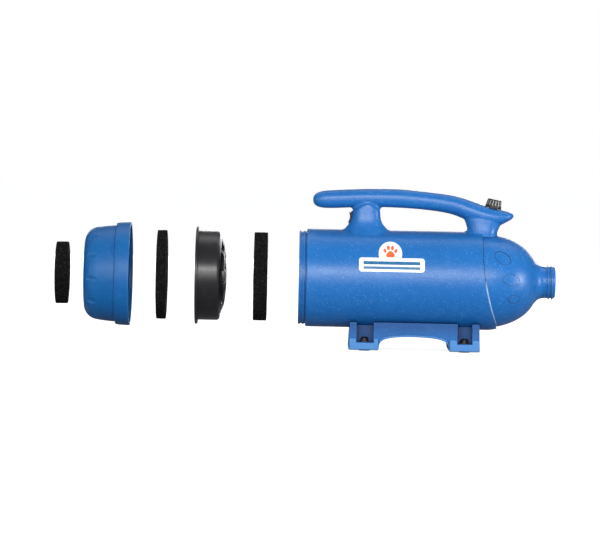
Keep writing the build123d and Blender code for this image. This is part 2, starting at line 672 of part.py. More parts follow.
with BuildPart() as base_cradle:
    # two arched rails joined at the feet
    with BuildSketch(side_view(CRADLE_HALF_WIDTH)):
        with BuildLine():
            Polyline(*ARCH_FRONT_END)
            Spline(*ARCH)
            Polyline(*RAIL_OUTLINE)
        make_face()
    extrude(amount=2 * CRADLE_HALF_WIDTH)
    # barrel saddle
    with BuildSketch(across(60)):
        Circle(BARREL_R + GAP)
    extrude(amount=238, mode=Mode.SUBTRACT)
    # open middle between the rails
    with BuildSketch(level(-96, 184.0)):
        RectangleRounded(100, 66, 8)
    extrude(amount=40, mode=Mode.SUBTRACT)
    # pockets for the foot screws, open to the side and to the top
    for _, (pocket_rear, pocket_front) in FEET:
        for side in (-1, 1):
            with BuildSketch(level(POCKET_FLOOR, (pocket_rear + pocket_front) / 2,
                                   side * 41.0)):
                Rectangle(pocket_front - pocket_rear, 26)
            extrude(amount=40, mode=Mode.SUBTRACT)
    add(foot_lips.part)
    add(arch_bands.part)
    # screws up into the barrel, from below
    for station, side in CRADLE_SCREWS:
        with BuildSketch(level(CUT_BELOW, station, side)):
            Circle(4.6)
        extrude(amount=24, mode=Mode.SUBTRACT)
        with BuildSketch(level(-90, station, side)):
            Circle(2.2)
        extrude(amount=20, mode=Mode.SUBTRACT)
    # rubber foot recesses and their screw holes
    for station, side in FOOT_CENTRES:
        with BuildSketch(level(CUT_BELOW, station, side)):
            Circle(8.7)
        extrude(amount=3.8, mode=Mode.SUBTRACT)
        with BuildSketch(level(-109, station, side)):
            Circle(2.6)
        extrude(amount=12, mode=Mode.SUBTRACT)
save(base_cradle.part, "base_cradle")

cradle_seats = [level(-88.1, station, side) for station, side in CRADLE_SCREWS]
save(socket_screws(cradle_seats, head_r=3.9, head_height=3.2, shank_r=1.7, length=19.4),
     "cradle_screws")

# foot screw head, from its seat up: radius, height
HEAD_FLANGE = [(0, 0), (6.6, 0), (6.8, 0.4), (6.8, 1.4), (6.2, 1.9), (6.1, 4.6)]
HEAD_DOME = [(6.1, 4.6), (5.2, 7.2), (3.2, 8.7), (2.0, 9.0)]
HEAD_SOCKET = [(2.0, 9.0), (2.0, 6.4), (0, 6.4), (0, 0)]

with BuildPart() as foot_screws:
    for station, side in FOOT_CENTRES:
        with BuildSketch(Plane(origin=(X0 + station, side, AXIS_Z - 98.45),
                               x_dir=(1, 0, 0), z_dir=(0, -1, 0))):
            with BuildLine():
                Polyline(*HEAD_FLANGE)
                Spline(*HEAD_DOME, tangents=[(0, 1), (-1, 0.1)])
                Polyline(*HEAD_SOCKET)
            make_face()
        revolve(axis=Axis((X0 + station, side, 0), (0, 0, 1)))
        # shank down, and a short stub up that joins it to the head
        for length in (-10.6, 0.6):
            with BuildSketch(level(-98.6, station, side)):
                Circle(2.5)
            extrude(amount=length)
save(foot_screws.part, "foot_screws")

RUBBER_T = 3.2
with BuildPart() as rubber_feet:
    for station, side in FOOT_CENTRES:
        with BuildSketch(level(-AXIS_Z, station, side)):
            Circle(8.6)
        extrude(amount=RUBBER_T)
        with BuildSketch(level(-AXIS_Z + RUBBER_T, station, side)):
            Circle(2.6)
        extrude(amount=-1.9, mode=Mode.SUBTRACT)
save(rubber_feet.part, "rubber_feet")

# ---------------------------------------------------------------- front label
LABEL_INNER = BARREL_R + 0.06
LABEL_OUTER = BARREL_R + 0.42

with BuildPart() as front_label:
    # thin patch wrapped on the near side of the barrel
    with BuildSketch(SIDE):
        with BuildLine():
            Polyline((90, LABEL_INNER), (202, LABEL_INNER), (202, LABEL_OUTER),
                     (90, LABEL_OUTER), close=True)
        make_face()
    revolve(axis=AXLE)
    with BuildSketch(SIDE):
        with Locations((145.5, 25.4)):
            RectangleRounded(103.0, 21.4, 4.5)
        with Locations((143.0, 42.5)):
            Circle(18.5)
    extrude(amount=90, mode=Mode.INTERSECT)
save(front_label.part, "front_label")

# ---------------------------------------------------------------- rocker switch
BEZEL_BACK = -0.75      # bezel's back face, from the switch plane
PIVOT_DEPTH = 1.6       # rocker pivot below the switch plane
ROCK = math.radians(7.0)    # tilt of the rocker from level
ROCKER_HALF_WIDTH = 5.0
PIN_HALF_LENGTH = 5.9
PIN_HOLE_HALF_LENGTH = 6.0
# rocker seen along its pivot: (along the switch's length, out of the switch)
ROCKER_BASE = [(-7.8, 5.0), (-8.0, 4.4), (-7.7, -1.0), (-3.4, -4.6), (3.4, -4.6),
               (7.7, -1.0), (8.0, 4.4), (7.8, 5.0)]
ROCKER_TOP = [(7.8, 5.0), (4.0, 3.5), (0, 3.0), (-4.0, 3.5), (-7.8, 5.0)]


def pivot_plane(half_length):
    """Plane square to the rocker's pivot, half_length to the -Y side of the middle."""
    return Plane(origin=SWITCH.from_local_coords((-half_length, 0, -PIVOT_DEPTH)),
                 x_dir=SWITCH.y_dir, z_dir=SWITCH.x_dir)


with BuildPart() as switch_housing:
    with BuildSketch(SWITCH.offset(BEZEL_BACK)):
        RectangleRounded(*SWITCH_BEZEL, 1.0)
    extrude(amount=1.9)
    with BuildSketch(SWITCH.offset(BEZEL_BACK)):
        Rectangle(*SWITCH_BODY)
    extrude(amount=-15.2)
    with BuildSketch(SWITCH.offset(3)):
        Rectangle(10.4, 17.6)
    extrude(amount=-11.5, mode=Mode.SUBTRACT)
    with BuildSketch(pivot_plane(PIN_HOLE_HALF_LENGTH)):
        Circle(1.2 + RUNNING_FIT)
    extrude(amount=2 * PIN_HOLE_HALF_LENGTH, mode=Mode.SUBTRACT)
save(switch_housing.part, "switch_housing")

with BuildPart() as power_rocker:
    with BuildSketch(Plane(origin=pivot_plane(ROCKER_HALF_WIDTH).origin,
                           x_dir=SWITCH.y_dir * math.cos(ROCK)
                           - SWITCH.z_dir * math.sin(ROCK),
                           z_dir=SWITCH.x_dir)):
        with BuildLine():
            Polyline(*ROCKER_BASE)
            Spline(*ROCKER_TOP)
        make_face()
    extrude(amount=2 * ROCKER_HALF_WIDTH)
    with BuildSketch(pivot_plane(PIN_HALF_LENGTH)):
        Circle(1.2)
    extrude(amount=2 * PIN_HALF_LENGTH)
save(power_rocker.part, "power_rocker")

with BuildPart() as switch_terminals:
    for x in (-3.2, 3.2):
        for y in (-5.2, 5.2):
            with BuildSketch(SWITCH.offset(-16.0)):
                with Locations((x, y)):
                    Rectangle(0.8, 4.8)
            extrude(amount=-4.4)
save(switch_terminals.part, "switch_terminals")

# ---------------------------------------------------------------- power inlet
INLET = inlet_plane(18.3)       # back of the flange

with BuildPart() as power_inlet:
    with BuildSketch(INLET):
        RectangleRounded(*INLET_FLANGE, 1.8)
    extrude(amount=2.4)
    with BuildSketch(INLET):
        Rectangle(*INLET_BODY)
    extrude(amount=-14.0)
    # socket with two cut corners
    with BuildSketch(INLET.offset(4)):
        with BuildLine():
            Polyline((-10, -6.4), (10, -6.4), (10, 3.0), (6.6, 6.4), (-6.6, 6.4),
                     (-10, 3.0), close=True)
        make_face()
    extrude(amount=-16.0, mode=Mode.SUBTRACT)
save(power_inlet.part, "power_inlet")

with BuildPart() as inlet_pins:
    for x, y in ((-5.2, -1.6), (0, 2.4), (5.2, -1.6)):
        with BuildSketch(INLET.offset(-11.9)):
            with Locations((x, y)):
                Rectangle(1.9, 3.8)
        extrude(amount=9.6)
save(inlet_pins.part, "inlet_pins")

# ---------------------------------------------------------------- speed control
# offsets are along the knob's axis, from the KNOB plane
POT_TOP = -5.0          # top of the potentiometer's can
POT_BUSH_R = 4.5
POT_SHAFT_R = 3.0
KNOB_R = 12.9           # radius at the foot of the cone
KNOB_TAPER = 10.0
GRIP_COUNT = 16
BOARD_TOP, BOARD_T = -17.0, 1.6
BOARD_BOTTOM = BOARD_TOP - BOARD_T
SINK_FIN_PITCH = 3.4

with BuildPart() as potentiometer_body:
    with BuildSketch(KNOB.offset(POT_TOP)):
        Circle(7.6)
    extrude(amount=-9.0)
    with BuildSketch(KNOB.offset(POT_TOP)):
        Circle(POT_BUSH_R)
    extrude(amount=9.2)
    with BuildSketch(KNOB.offset(8)):
        Circle(POT_SHAFT_R + RUNNING_FIT)
    extrude(amount=-15.0, mode=Mode.SUBTRACT)
save(potentiometer_body.part, "potentiometer_body")

with BuildPart() as pot_nut:
    with BuildSketch(KNOB.offset(0.1)):
        RegularPolygon(6.6, 6)
        Circle(POT_BUSH_R + SHAFT_FIT, mode=Mode.SUBTRACT)
    extrude(amount=2.6)
save(pot_nut.part, "pot_nut")

with BuildPart() as pot_shaft:
    with BuildSketch(KNOB.offset(-6.5)):
        Circle(POT_SHAFT_R)
    extrude(amount=19.0)
save(pot_shaft.part, "pot_shaft")

with BuildPart() as speed_knob:
    # skirt, then the cone
    with BuildSketch(KNOB.offset(0.5)):
        Circle(13.2)
    extrude(amount=2.6)
    chamfer(speed_knob.faces().sort_by(Axis.Z)[-1].edges(), 0.8)
    with BuildSketch(KNOB.offset(3.0)):
        Circle(KNOB_R)
    extrude(amount=11.8, taper=KNOB_TAPER)
    fillet(speed_knob.faces().filter_by(GeomType.PLANE).sort_by(Axis.Z)[-1].edges(), 1.2)
    # grip flutes along the cone, stopping short of its top edge
    lean = math.radians(KNOB_TAPER)
    foot_r = KNOB_R - 1.6 * math.tan(lean) + 0.25
    for k in range(GRIP_COUNT):
        angle = 360 / GRIP_COUNT * k
        foot = KNOB.from_local_coords(Vector(*polar(foot_r, angle), 4.6))
        up_cone = KNOB.from_local_coords(
            Vector(*polar(-math.sin(lean), angle), math.cos(lean))) - KNOB.origin
        with BuildSketch(Plane(origin=foot, x_dir=(0, 1, 0), z_dir=up_cone)):
            Circle(1.3)
        extrude(amount=8.2, mode=Mode.SUBTRACT)
    # line cut in the top
    with BuildSketch(KNOB.offset(14.4)):
        with Locations((0, 5.6)):
            Rectangle(1.3, 6.0)
    extrude(amount=3, mode=Mode.SUBTRACT)
    # hollow over the nut, and the shaft hole
    with BuildSketch(KNOB.offset(-1)):
        Circle(8.0)
    extrude(amount=7.0, mode=Mode.SUBTRACT)
    with BuildSketch(KNOB.offset(-1)):
        Circle(POT_SHAFT_R + SHAFT_FIT)
    extrude(amount=13.8, mode=Mode.SUBTRACT)
save(speed_knob.part, "speed_knob")

with BuildPart() as speed_control_board:
    with BuildSketch(KNOB.offset(BOARD_TOP)):
        with Locations((-9.2, 0)):
            Rectangle(33, 24)
    extrude(amount=-BOARD_T)
    # pins up to the potentiometer
    with BuildSketch(KNOB.offset(BOARD_TOP)):
        with Locations((0, -3.5), (0, 0), (0, 3.5)):
            Rectangle(1.2, 0.8)
    extrude(amount=2.9)
    # a choke and a capacitor below
    with BuildSketch(KNOB.offset(BOARD_BOTTOM)):
        with Locations((-2.6, 5.4)):
            Rectangle(11, 6)
        with Locations((-2.6, -5.4)):
            Circle(4)
    extrude(amount=-7)
save(speed_control_board.part, "speed_control_board")

with BuildPart() as triac_heat_sink:
    with BuildSketch(KNOB.offset(BOARD_BOTTOM - GAP)):
        with Locations((-16.4, 0)):
            Rectangle(16, 20)
    extrude(amount=-2.0)
    with BuildSketch(KNOB.offset(-20.6)):
        for k in range(5):
            with Locations((-23.2 + SINK_FIN_PITCH * k, 0)):
                Rectangle(1.2, 20)
    extrude(amount=-5.6)
save(triac_heat_sink.part, "triac_heat_sink")

# ---------------------------------------------------------------- motor mounting plate
PLATE_STATION, PLATE_T = 67.3, 2.9

with BuildPart() as motor_plate:
    with BuildSketch(across(PLATE_STATION)):
        annulus(70.5, 27.0)
        with PolarLocations(PLATE_SCREW_PITCH_R, PLATE_SCREW_COUNT):
            Circle(1.8, mode=Mode.SUBTRACT)
    extrude(amount=PLATE_T)
    # bars across the intake eye
    with BuildSketch(across(PLATE_STATION)):
        Rectangle(56, 3)
        Rectangle(3, 56)
        annulus(16, 13)
    extrude(amount=PLATE_T)
save(motor_plate.part, "motor_plate")

with BuildPart() as plate_screws:
    for k in range(PLATE_SCREW_COUNT):
        side, rise = polar(PLATE_SCREW_PITCH_R, 360 / PLATE_SCREW_COUNT * k)
        for length in (5.8, -3.0):      # into the barrel, and back through the plate
            with BuildSketch(across(70.25, rise, side)):
                Circle(1.45)
            extrude(amount=length)
save(plate_screws.part, "plate_screws")

with BuildPart() as intake_gasket:
    with BuildSketch(across(PLATE_STATION + PLATE_T + GAP)):
        annulus(60.0, 33.0)
    extrude(amount=5.9)
save(intake_gasket.part, "intake_gasket")

# ---------------------------------------------------------------- fan
BORE_R = SHAFT_R + SHAFT_FIT    # bore of what is fixed on the shaft
IMPELLER_R = 54.6
IMPELLER_OUTLINES = [
    # back disc with the hub in front of it
    [(94.6, BORE_R), (94.6, IMPELLER_R), (96.2, IMPELLER_R), (96.2, 9.0), (99.0, 9.0),
     (99.0, BORE_R)],
    # hub behind the disc
    [(86.4, BORE_R), (86.4, 8.4), (94.7, 9.4), (94.7, BORE_R)],
    # conical shroud
    [(80.2, 23.0), (80.2, 24.4), (83.4, 30.0), (85.6, IMPELLER_R), (87.0, IMPELLER_R),
     (84.8, 29.4), (81.6, 23.0)],
]
BLADE_COUNT = 9
VANE_COUNT = 10

save(revolved([(76.3, 26.0), (76.3, 59.6), (77.8, 61.6), (112.0, 61.6), (112.0, 60.0),
               (78.6, 60.0), (78.0, 59.2), (78.0, 26.0)]), "fan_housing")

with BuildPart() as impeller:
    with BuildSketch(SIDE):
        for outline in IMPELLER_OUTLINES:
            with BuildLine():
                Polyline(*outline, close=True)
            make_face()
    revolve(axis=AXLE)
    # curved blades, trimmed to the rim
    with BuildSketch(across(85.6)):
        for k in range(BLADE_COUNT):
            angle = 360 / BLADE_COUNT * k
            with BuildLine():
                CenterArc(polar(22.0, angle), 21.0, angle - 100, 84)
                offset(amount=0.7, side=Side.BOTH)
            make_face()
    extrude(amount=9.1)
    with BuildSketch(across(60)):
        Circle(IMPELLER_R)
    extrude(amount=60, mode=Mode.INTERSECT)
save(impeller.part, "impeller")

with BuildPart() as fan_nut:
    with BuildSketch(across(82.0)):
        RegularPolygon(7.2, 6)
        Circle(BORE_R, mode=Mode.SUBTRACT)
    extrude(amount=4.3)
save(fan_nut.part, "fan_nut")

with BuildPart() as diffuser:
    with BuildSketch(across(100.6)):
        annulus(59.8, 15.0)
    extrude(amount=1.6)
    with BuildSketch(across(102.0)):
        for k in range(VANE_COUNT):
            angle = 360 / VANE_COUNT * k
            with Locations(Location((*polar(40, angle), 0), (0, 0, angle + 35))):
                Rectangle(34, 1.6)
    extrude(amount=10.0)
save(diffuser.part, "diffuser")

# ---------------------------------------------------------------- motor
FAN_BRACKET_STATION = 112.2
BRUSH_BRACKET_STATION = 200.6
BRUSH_STATION = 193.0
STACK_STATION, STACK_LENGTH = 132.0, 40.0   # laminations of stator and armature
FAN_BEARING_R, BRUSH_BEARING_R = 11.0, 9.5
SHAFT_END_R = 3.5       # front end of the shaft
SHAFT_STEP = 203.0      # station where the shaft gets thinner
BOLT_RISE = 39.5        # motor bolts, above and below the axis
BOLT_PLACES = [(0, BOLT_RISE), (0, -BOLT_RISE)]
BOLT_HOLE_R = 2.2
BRACKET_BOSS_R = 14.0   # boss round the brush end bearing
BRACKET_ARM_T = 3.6

with BuildPart() as fan_end_bracket:
    # ring with a cross in it
    with BuildSketch(across(FAN_BRACKET_STATION)):
        annulus(61.4, 50.0)
        Rectangle(104, 12)
        Rectangle(12, 104)
        annulus(20, 7.0)
    extrude(amount=3.0)
    # bearing boss
    with BuildSketch(across(FAN_BRACKET_STATION)):
        annulus(14.5, FAN_BEARING_R + SHAFT_FIT)
    extrude(amount=11.0)
    # two legs to the stator, drilled for the bolts
    with BuildSketch(across(115.0)):
        with Locations(*BOLT_PLACES):
            Rectangle(14, 8)
    extrude(amount=16.8)
    with BuildSketch(across(FAN_BRACKET_STATION)):
        with Locations(*BOLT_PLACES):
            Circle(BOLT_HOLE_R)
    extrude(amount=20, mode=Mode.SUBTRACT)
save(fan_end_bracket.part, "fan_end_bracket")

with BuildPart() as motor_bearings:
    for station, outer, inner in ((115.3, FAN_BEARING_R, SHAFT_R),
                                  (205.2, BRUSH_BEARING_R, SHAFT_END_R)):
        # outer and inner race, then the filling between them
        with BuildSketch(across(station)):
            annulus(outer, outer - 2.0)
            annulus(inner + 2.1, inner + RUNNING_FIT)
        extrude(amount=7.0)
        with BuildSketch(across(station + 1.2)):
            annulus(outer - 1.9, inner + 2.0)
        extrude(amount=4.6)
save(motor_bearings.part, "motor_bearings")

with BuildPart() as stator_core:
    with BuildSketch(across(STACK_STATION)):
        RectangleRounded(88, 92, 18)
        Circle(22.4, mode=Mode.SUBTRACT)
        # winding windows either side of the two poles
        with Locations((-22, 25), (22, 25), (-22, -25), (22, -25)):
            RectangleRounded(16, 20, 3, mode=Mode.SUBTRACT)
        with Locations(*BOLT_PLACES):
            Circle(BOLT_HOLE_R, mode=Mode.SUBTRACT)
    extrude(amount=STACK_LENGTH)
save(stator_core.part, "stator_core")

with BuildPart() as field_coils:
    coil_rear = 124.4
    for pole in (-1, 1):
        # two runs through the windows, joined by a turn at each end
        for side in (-22, 22):
            with BuildSketch(across(coil_rear, pole * 25.0, side)):
                RectangleRounded(13, 16, 4)
            extrude(amount=55.2)
        for station in (coil_rear, 172.4):
            with BuildSketch(across(station, pole * 27.5)):
                RectangleRounded(52, 11, 4)
            extrude(amount=7.2)
save(field_coils.part, "field_coils")

with BuildPart() as armature_core:
    with BuildSketch(across(STACK_STATION)):
        annulus(21.7, BORE_R)
        # twelve slots with narrow mouths
        with PolarLocations(18.2, 12):
            Circle(2.3, mode=Mode.SUBTRACT)
        with PolarLocations(21.0, 12):
            Rectangle(3.0, 1.6, mode=Mode.SUBTRACT)
    extrude(amount=STACK_LENGTH)
save(armature_core.part, "armature_core")

with BuildPart() as armature_windings:
    for rear, front in ((124.6, 131.9), (172.1, 183.0)):
        with BuildSketch(across(rear)):
            annulus(19.4, SHAFT_R + 0.3)
        extrude(amount=front - rear)
    # the large outer edges only
    chamfer(armature_windings.edges().filter_by(
        lambda e: e.bounding_box().size.Y > 30), 2.2)
save(armature_windings.part, "armature_windings")

with BuildPart() as commutator:
    with BuildSketch(across(184.2)):
        annulus(12.0, BORE_R)
        with PolarLocations(11.6, 24):
            Rectangle(1.4, 0.5, mode=Mode.SUBTRACT)
    extrude(amount=16.0)
save(commutator.part, "commutator")

with BuildPart() as motor_shaft:
    with BuildSketch(across(79.4)):
        Circle(SHAFT_R)
    extrude(amount=SHAFT_STEP - 79.4)
    with BuildSketch(across(SHAFT_STEP)):
        Circle(SHAFT_END_R)
    extrude(amount=10.4)
save(motor_shaft.part, "motor_shaft")

with BuildPart() as brush_end_bracket:
    # upright bridge across the commutator end, with its bearing boss
    with BuildSketch(across(BRUSH_BRACKET_STATION)):
        Circle(BRACKET_BOSS_R)
        Rectangle(14, 92)
        Circle(5.2, mode=Mode.SUBTRACT)
    extrude(amount=BRACKET_ARM_T)
    with BuildSketch(across(BRUSH_BRACKET_STATION)):
        annulus(BRACKET_BOSS_R, BRUSH_BEARING_R + SHAFT_FIT)
    extrude(amount=14.6)
    # two legs back to the stator
    with BuildSketch(across(172.2)):
        with Locations((0, 41.5), (0, -41.5)):
            Rectangle(14, 9)
    extrude(amount=30.0)
    # floor of the bearing boss
    with BuildSketch(across(BRUSH_BRACKET_STATION)):
        annulus(BRACKET_BOSS_R, 5.2)
    extrude(amount=4.4)
    # side arms that hold the brush tubes
    with BuildSketch(across(BRUSH_BRACKET_STATION)):
        Rectangle(78, 13)
        Circle(12, mode=Mode.SUBTRACT)
    extrude(amount=BRACKET_ARM_T)
    for side in (-1, 1):
        with BuildSketch(across(188.4, 0, side * 28.0)):
            Rectangle(18, 13)
        extrude(amount=13.0)
        with BuildSketch(across(188.0, 0, side * 28.0)):
            Rectangle(20, 9.2)
        extrude(amount=9.6, mode=Mode.SUBTRACT)
    with BuildSketch(across(170)):
        with Locations(*BOLT_PLACES):
            Circle(BOLT_HOLE_R)
    extrude(amount=40, mode=Mode.SUBTRACT)
save(brush_end_bracket.part, "brush_end_bracket")


# ---------------------------------------------------------------- brushes
def brush_plane(side, distance):
    """Plane square to a brush, this far out from the axis, facing outwards."""
    return Plane(origin=(X0 + BRUSH_STATION, side * distance, AXIS_Z),
                 x_dir=(1, 0, 0), z_dir=(0, side, 0))


TUBE_WIDTH = 9.0
TUBE_START, TUBE_END = 14.0, 38.0       # distances from the axis

with BuildPart() as brush_holders:
    for side in (-1, 1):
        # square tube, then the plate that closes its outer end
        with BuildSketch(brush_plane(side, TUBE_START)):
            Rectangle(TUBE_WIDTH, TUBE_WIDTH)
            Rectangle(6.6, 6.6, mode=Mode.SUBTRACT)
        extrude(amount=TUBE_END - TUBE_START)
        with BuildSketch(brush_plane(side, TUBE_END)):
            Rectangle(TUBE_WIDTH, TUBE_WIDTH)
        extrude(amount=1.0)
save(brush_holders.part, "brush_holders")

with BuildPart() as carbon_brushes:
    for side in (-1, 1):
        with BuildSketch(brush_plane(side, 12.1)):
            Rectangle(6.4, 6.4)
        extrude(amount=16.0)
save(carbon_brushes.part, "carbon_brushes")

with BuildPart() as brush_springs:
    for side in (-1, 1):
        coil = Helix(pitch=2.1, height=8.6, radius=2.2,
                     center=(X0 + BRUSH_STATION, side * 28.6, AXIS_Z),
                     direction=(0, side, 0), mode=Mode.PRIVATE)
        with BuildSketch(Plane(origin=coil @ 0, z_dir=coil % 0)):
            Circle(0.35)
        sweep(path=coil, is_frenet=True)
save(brush_springs.part, "brush_springs")

# ---------------------------------------------------------------- motor fixings
with BuildPart() as motor_bolts:
    for rise in (BOLT_RISE, -BOLT_RISE):
        with BuildSketch(across(112.6, rise)):
            Circle(2.0)
        extrude(amount=92.0)
        with BuildSketch(across(204.3, rise)):
            RegularPolygon(4.0, 6)
        extrude(amount=2.6)
save(motor_bolts.part, "motor_bolts")

save(revolved([(205.4, 14.1), (205.4, 18.8), (217.8, 18.8), (217.8, 4.0), (215.4, 4.0),
               (215.4, 14.1)]), "front_rubber_mount")

with BuildPart() as motor_spider:
    # rim, two crossed arms and a hub
    with BuildSketch(across(SPIDER_STATION)):
        annulus(73.6, 61.0)
        Rectangle(130, 9, rotation=45)
        Rectangle(130, 9, rotation=-45)
        annulus(22.5, 9.0)
        with PolarLocations(TIE_R, 4, start_angle=45):
            Circle(2.3, mode=Mode.SUBTRACT)
    extrude(amount=SPIDER_T)
    # cup round the rubber mount
    with BuildSketch(across(206.4)):
        annulus(22.5, 19.0)
    extrude(amount=11.7)
save(motor_spider.part, "motor_spider")

tie_seats = []
for angle in TIE_ANGLES:
    side, rise = polar(TIE_R, angle)
    tie_seats.append(across(SPIDER_STATION - GAP, rise, side))
save(socket_screws(tie_seats, head_r=4.2, head_height=3.4, shank_r=TIE_SHANK_R,
                   length=58.0), "tie_screws")

# ---------------------------------------------------------------- wiring
# station, side, rise
# from the switch up the rear leg, along the bar, down to the board
SWITCH_LEADS = [
    [(103.4, -3.2, 98.0), (103.8, -4, 108), (108, -4, 119), (150, -4, 127.5),
     (200, -4, 124.5), (245, -4, 117.5), (268, -4, 107.5), (276.4, -4, 103.8)],
    [(103.4, 1.6, 98.0), (103.8, 1.8, 108), (108, 3, 119), (150, 4, 127.5),
     (200, 4, 124.5), (245, 4, 117.5), (268, 4, 107.5), (276.4, 4, 103.8)],
]
# from the board down the duct and back to a brush; the other brush's is its mirror
BRUSH_LEAD = [
    (276.6, 9, 100.4), (273.0, 6, 94), (270.8, 5, 84), (270.6, 5, 74), (266, 6, 63),
    (245, 8, 56), (226, 14, 50), (206, 32, 36), (194, 42.5, 12), (193, 40.6, 1),
]
MIRRORED_LEAD = [(station, -side, rise) for station, side, rise in BRUSH_LEAD]

with BuildPart() as wiring_harness:
    for lead in (*SWITCH_LEADS, MIRRORED_LEAD, BRUSH_LEAD):
        run = Spline(*[(X0 + station, side, AXIS_Z + rise)
                       for station, side, rise in lead], mode=Mode.PRIVATE)
        with BuildSketch(Plane(origin=run @ 0, z_dir=run % 0)):
            Circle(1.05)
        sweep(path=run)
save(wiring_harness.part, "wiring_harness")
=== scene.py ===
# A barrel-shaped machine lying on a cradle, its axis along X.  The hose collar is at +X
# (front), the open end with the foam discs at -X (rear).  Metres, +Z up.  The near side,
# which carries the label and faces the camera, is -Y.
import json
import math

import bmesh
import bpy
from mathutils import Matrix, Vector, noise


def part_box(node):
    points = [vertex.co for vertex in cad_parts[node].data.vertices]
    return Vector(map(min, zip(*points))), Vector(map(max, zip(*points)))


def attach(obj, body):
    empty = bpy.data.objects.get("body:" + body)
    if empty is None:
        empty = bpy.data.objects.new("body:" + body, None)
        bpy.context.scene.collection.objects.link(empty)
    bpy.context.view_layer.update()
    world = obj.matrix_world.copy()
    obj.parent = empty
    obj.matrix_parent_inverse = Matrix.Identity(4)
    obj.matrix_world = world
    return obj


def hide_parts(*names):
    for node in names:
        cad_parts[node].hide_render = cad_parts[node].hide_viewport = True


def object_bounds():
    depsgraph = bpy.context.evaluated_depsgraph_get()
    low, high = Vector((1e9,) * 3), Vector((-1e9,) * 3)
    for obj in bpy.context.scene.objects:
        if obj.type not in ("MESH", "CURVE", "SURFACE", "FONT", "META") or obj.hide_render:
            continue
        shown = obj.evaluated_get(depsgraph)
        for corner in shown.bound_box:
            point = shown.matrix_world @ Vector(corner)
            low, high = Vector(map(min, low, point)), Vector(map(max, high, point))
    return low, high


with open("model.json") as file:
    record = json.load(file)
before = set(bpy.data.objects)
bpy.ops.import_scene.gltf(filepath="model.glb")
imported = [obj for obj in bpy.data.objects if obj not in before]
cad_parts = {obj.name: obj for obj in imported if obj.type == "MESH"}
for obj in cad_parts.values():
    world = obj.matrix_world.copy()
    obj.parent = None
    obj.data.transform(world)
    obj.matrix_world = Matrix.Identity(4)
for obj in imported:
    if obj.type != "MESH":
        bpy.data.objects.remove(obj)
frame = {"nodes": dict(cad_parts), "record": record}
cad_lo, cad_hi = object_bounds()

# ------------------------------------------------------------------ places
BODY_LENGTH = 0.406                       # open rear end to hose collar end
REAR_X = cad_hi.x - BODY_LENGTH
cup_lo, cup_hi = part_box("filter_cup")
AXIS_Z = (cup_lo.z + cup_hi.z) / 2        # barrel axis above the floor


# ------------------------------------------------------------------ shader tools
def srgb(*channels):
    """Linear RGBA from 8-bit sRGB channels."""
    scaled = [c / 255.0 for c in channels]
    linear = [c / 12.92 if c <= 0.04045 else ((c + 0.055) / 1.055) ** 2.4 for c in scaled]
    return (*linear, 1.0)


def darker(color, factor):
    return tuple(c * factor for c in color[:3]) + (1.0,)


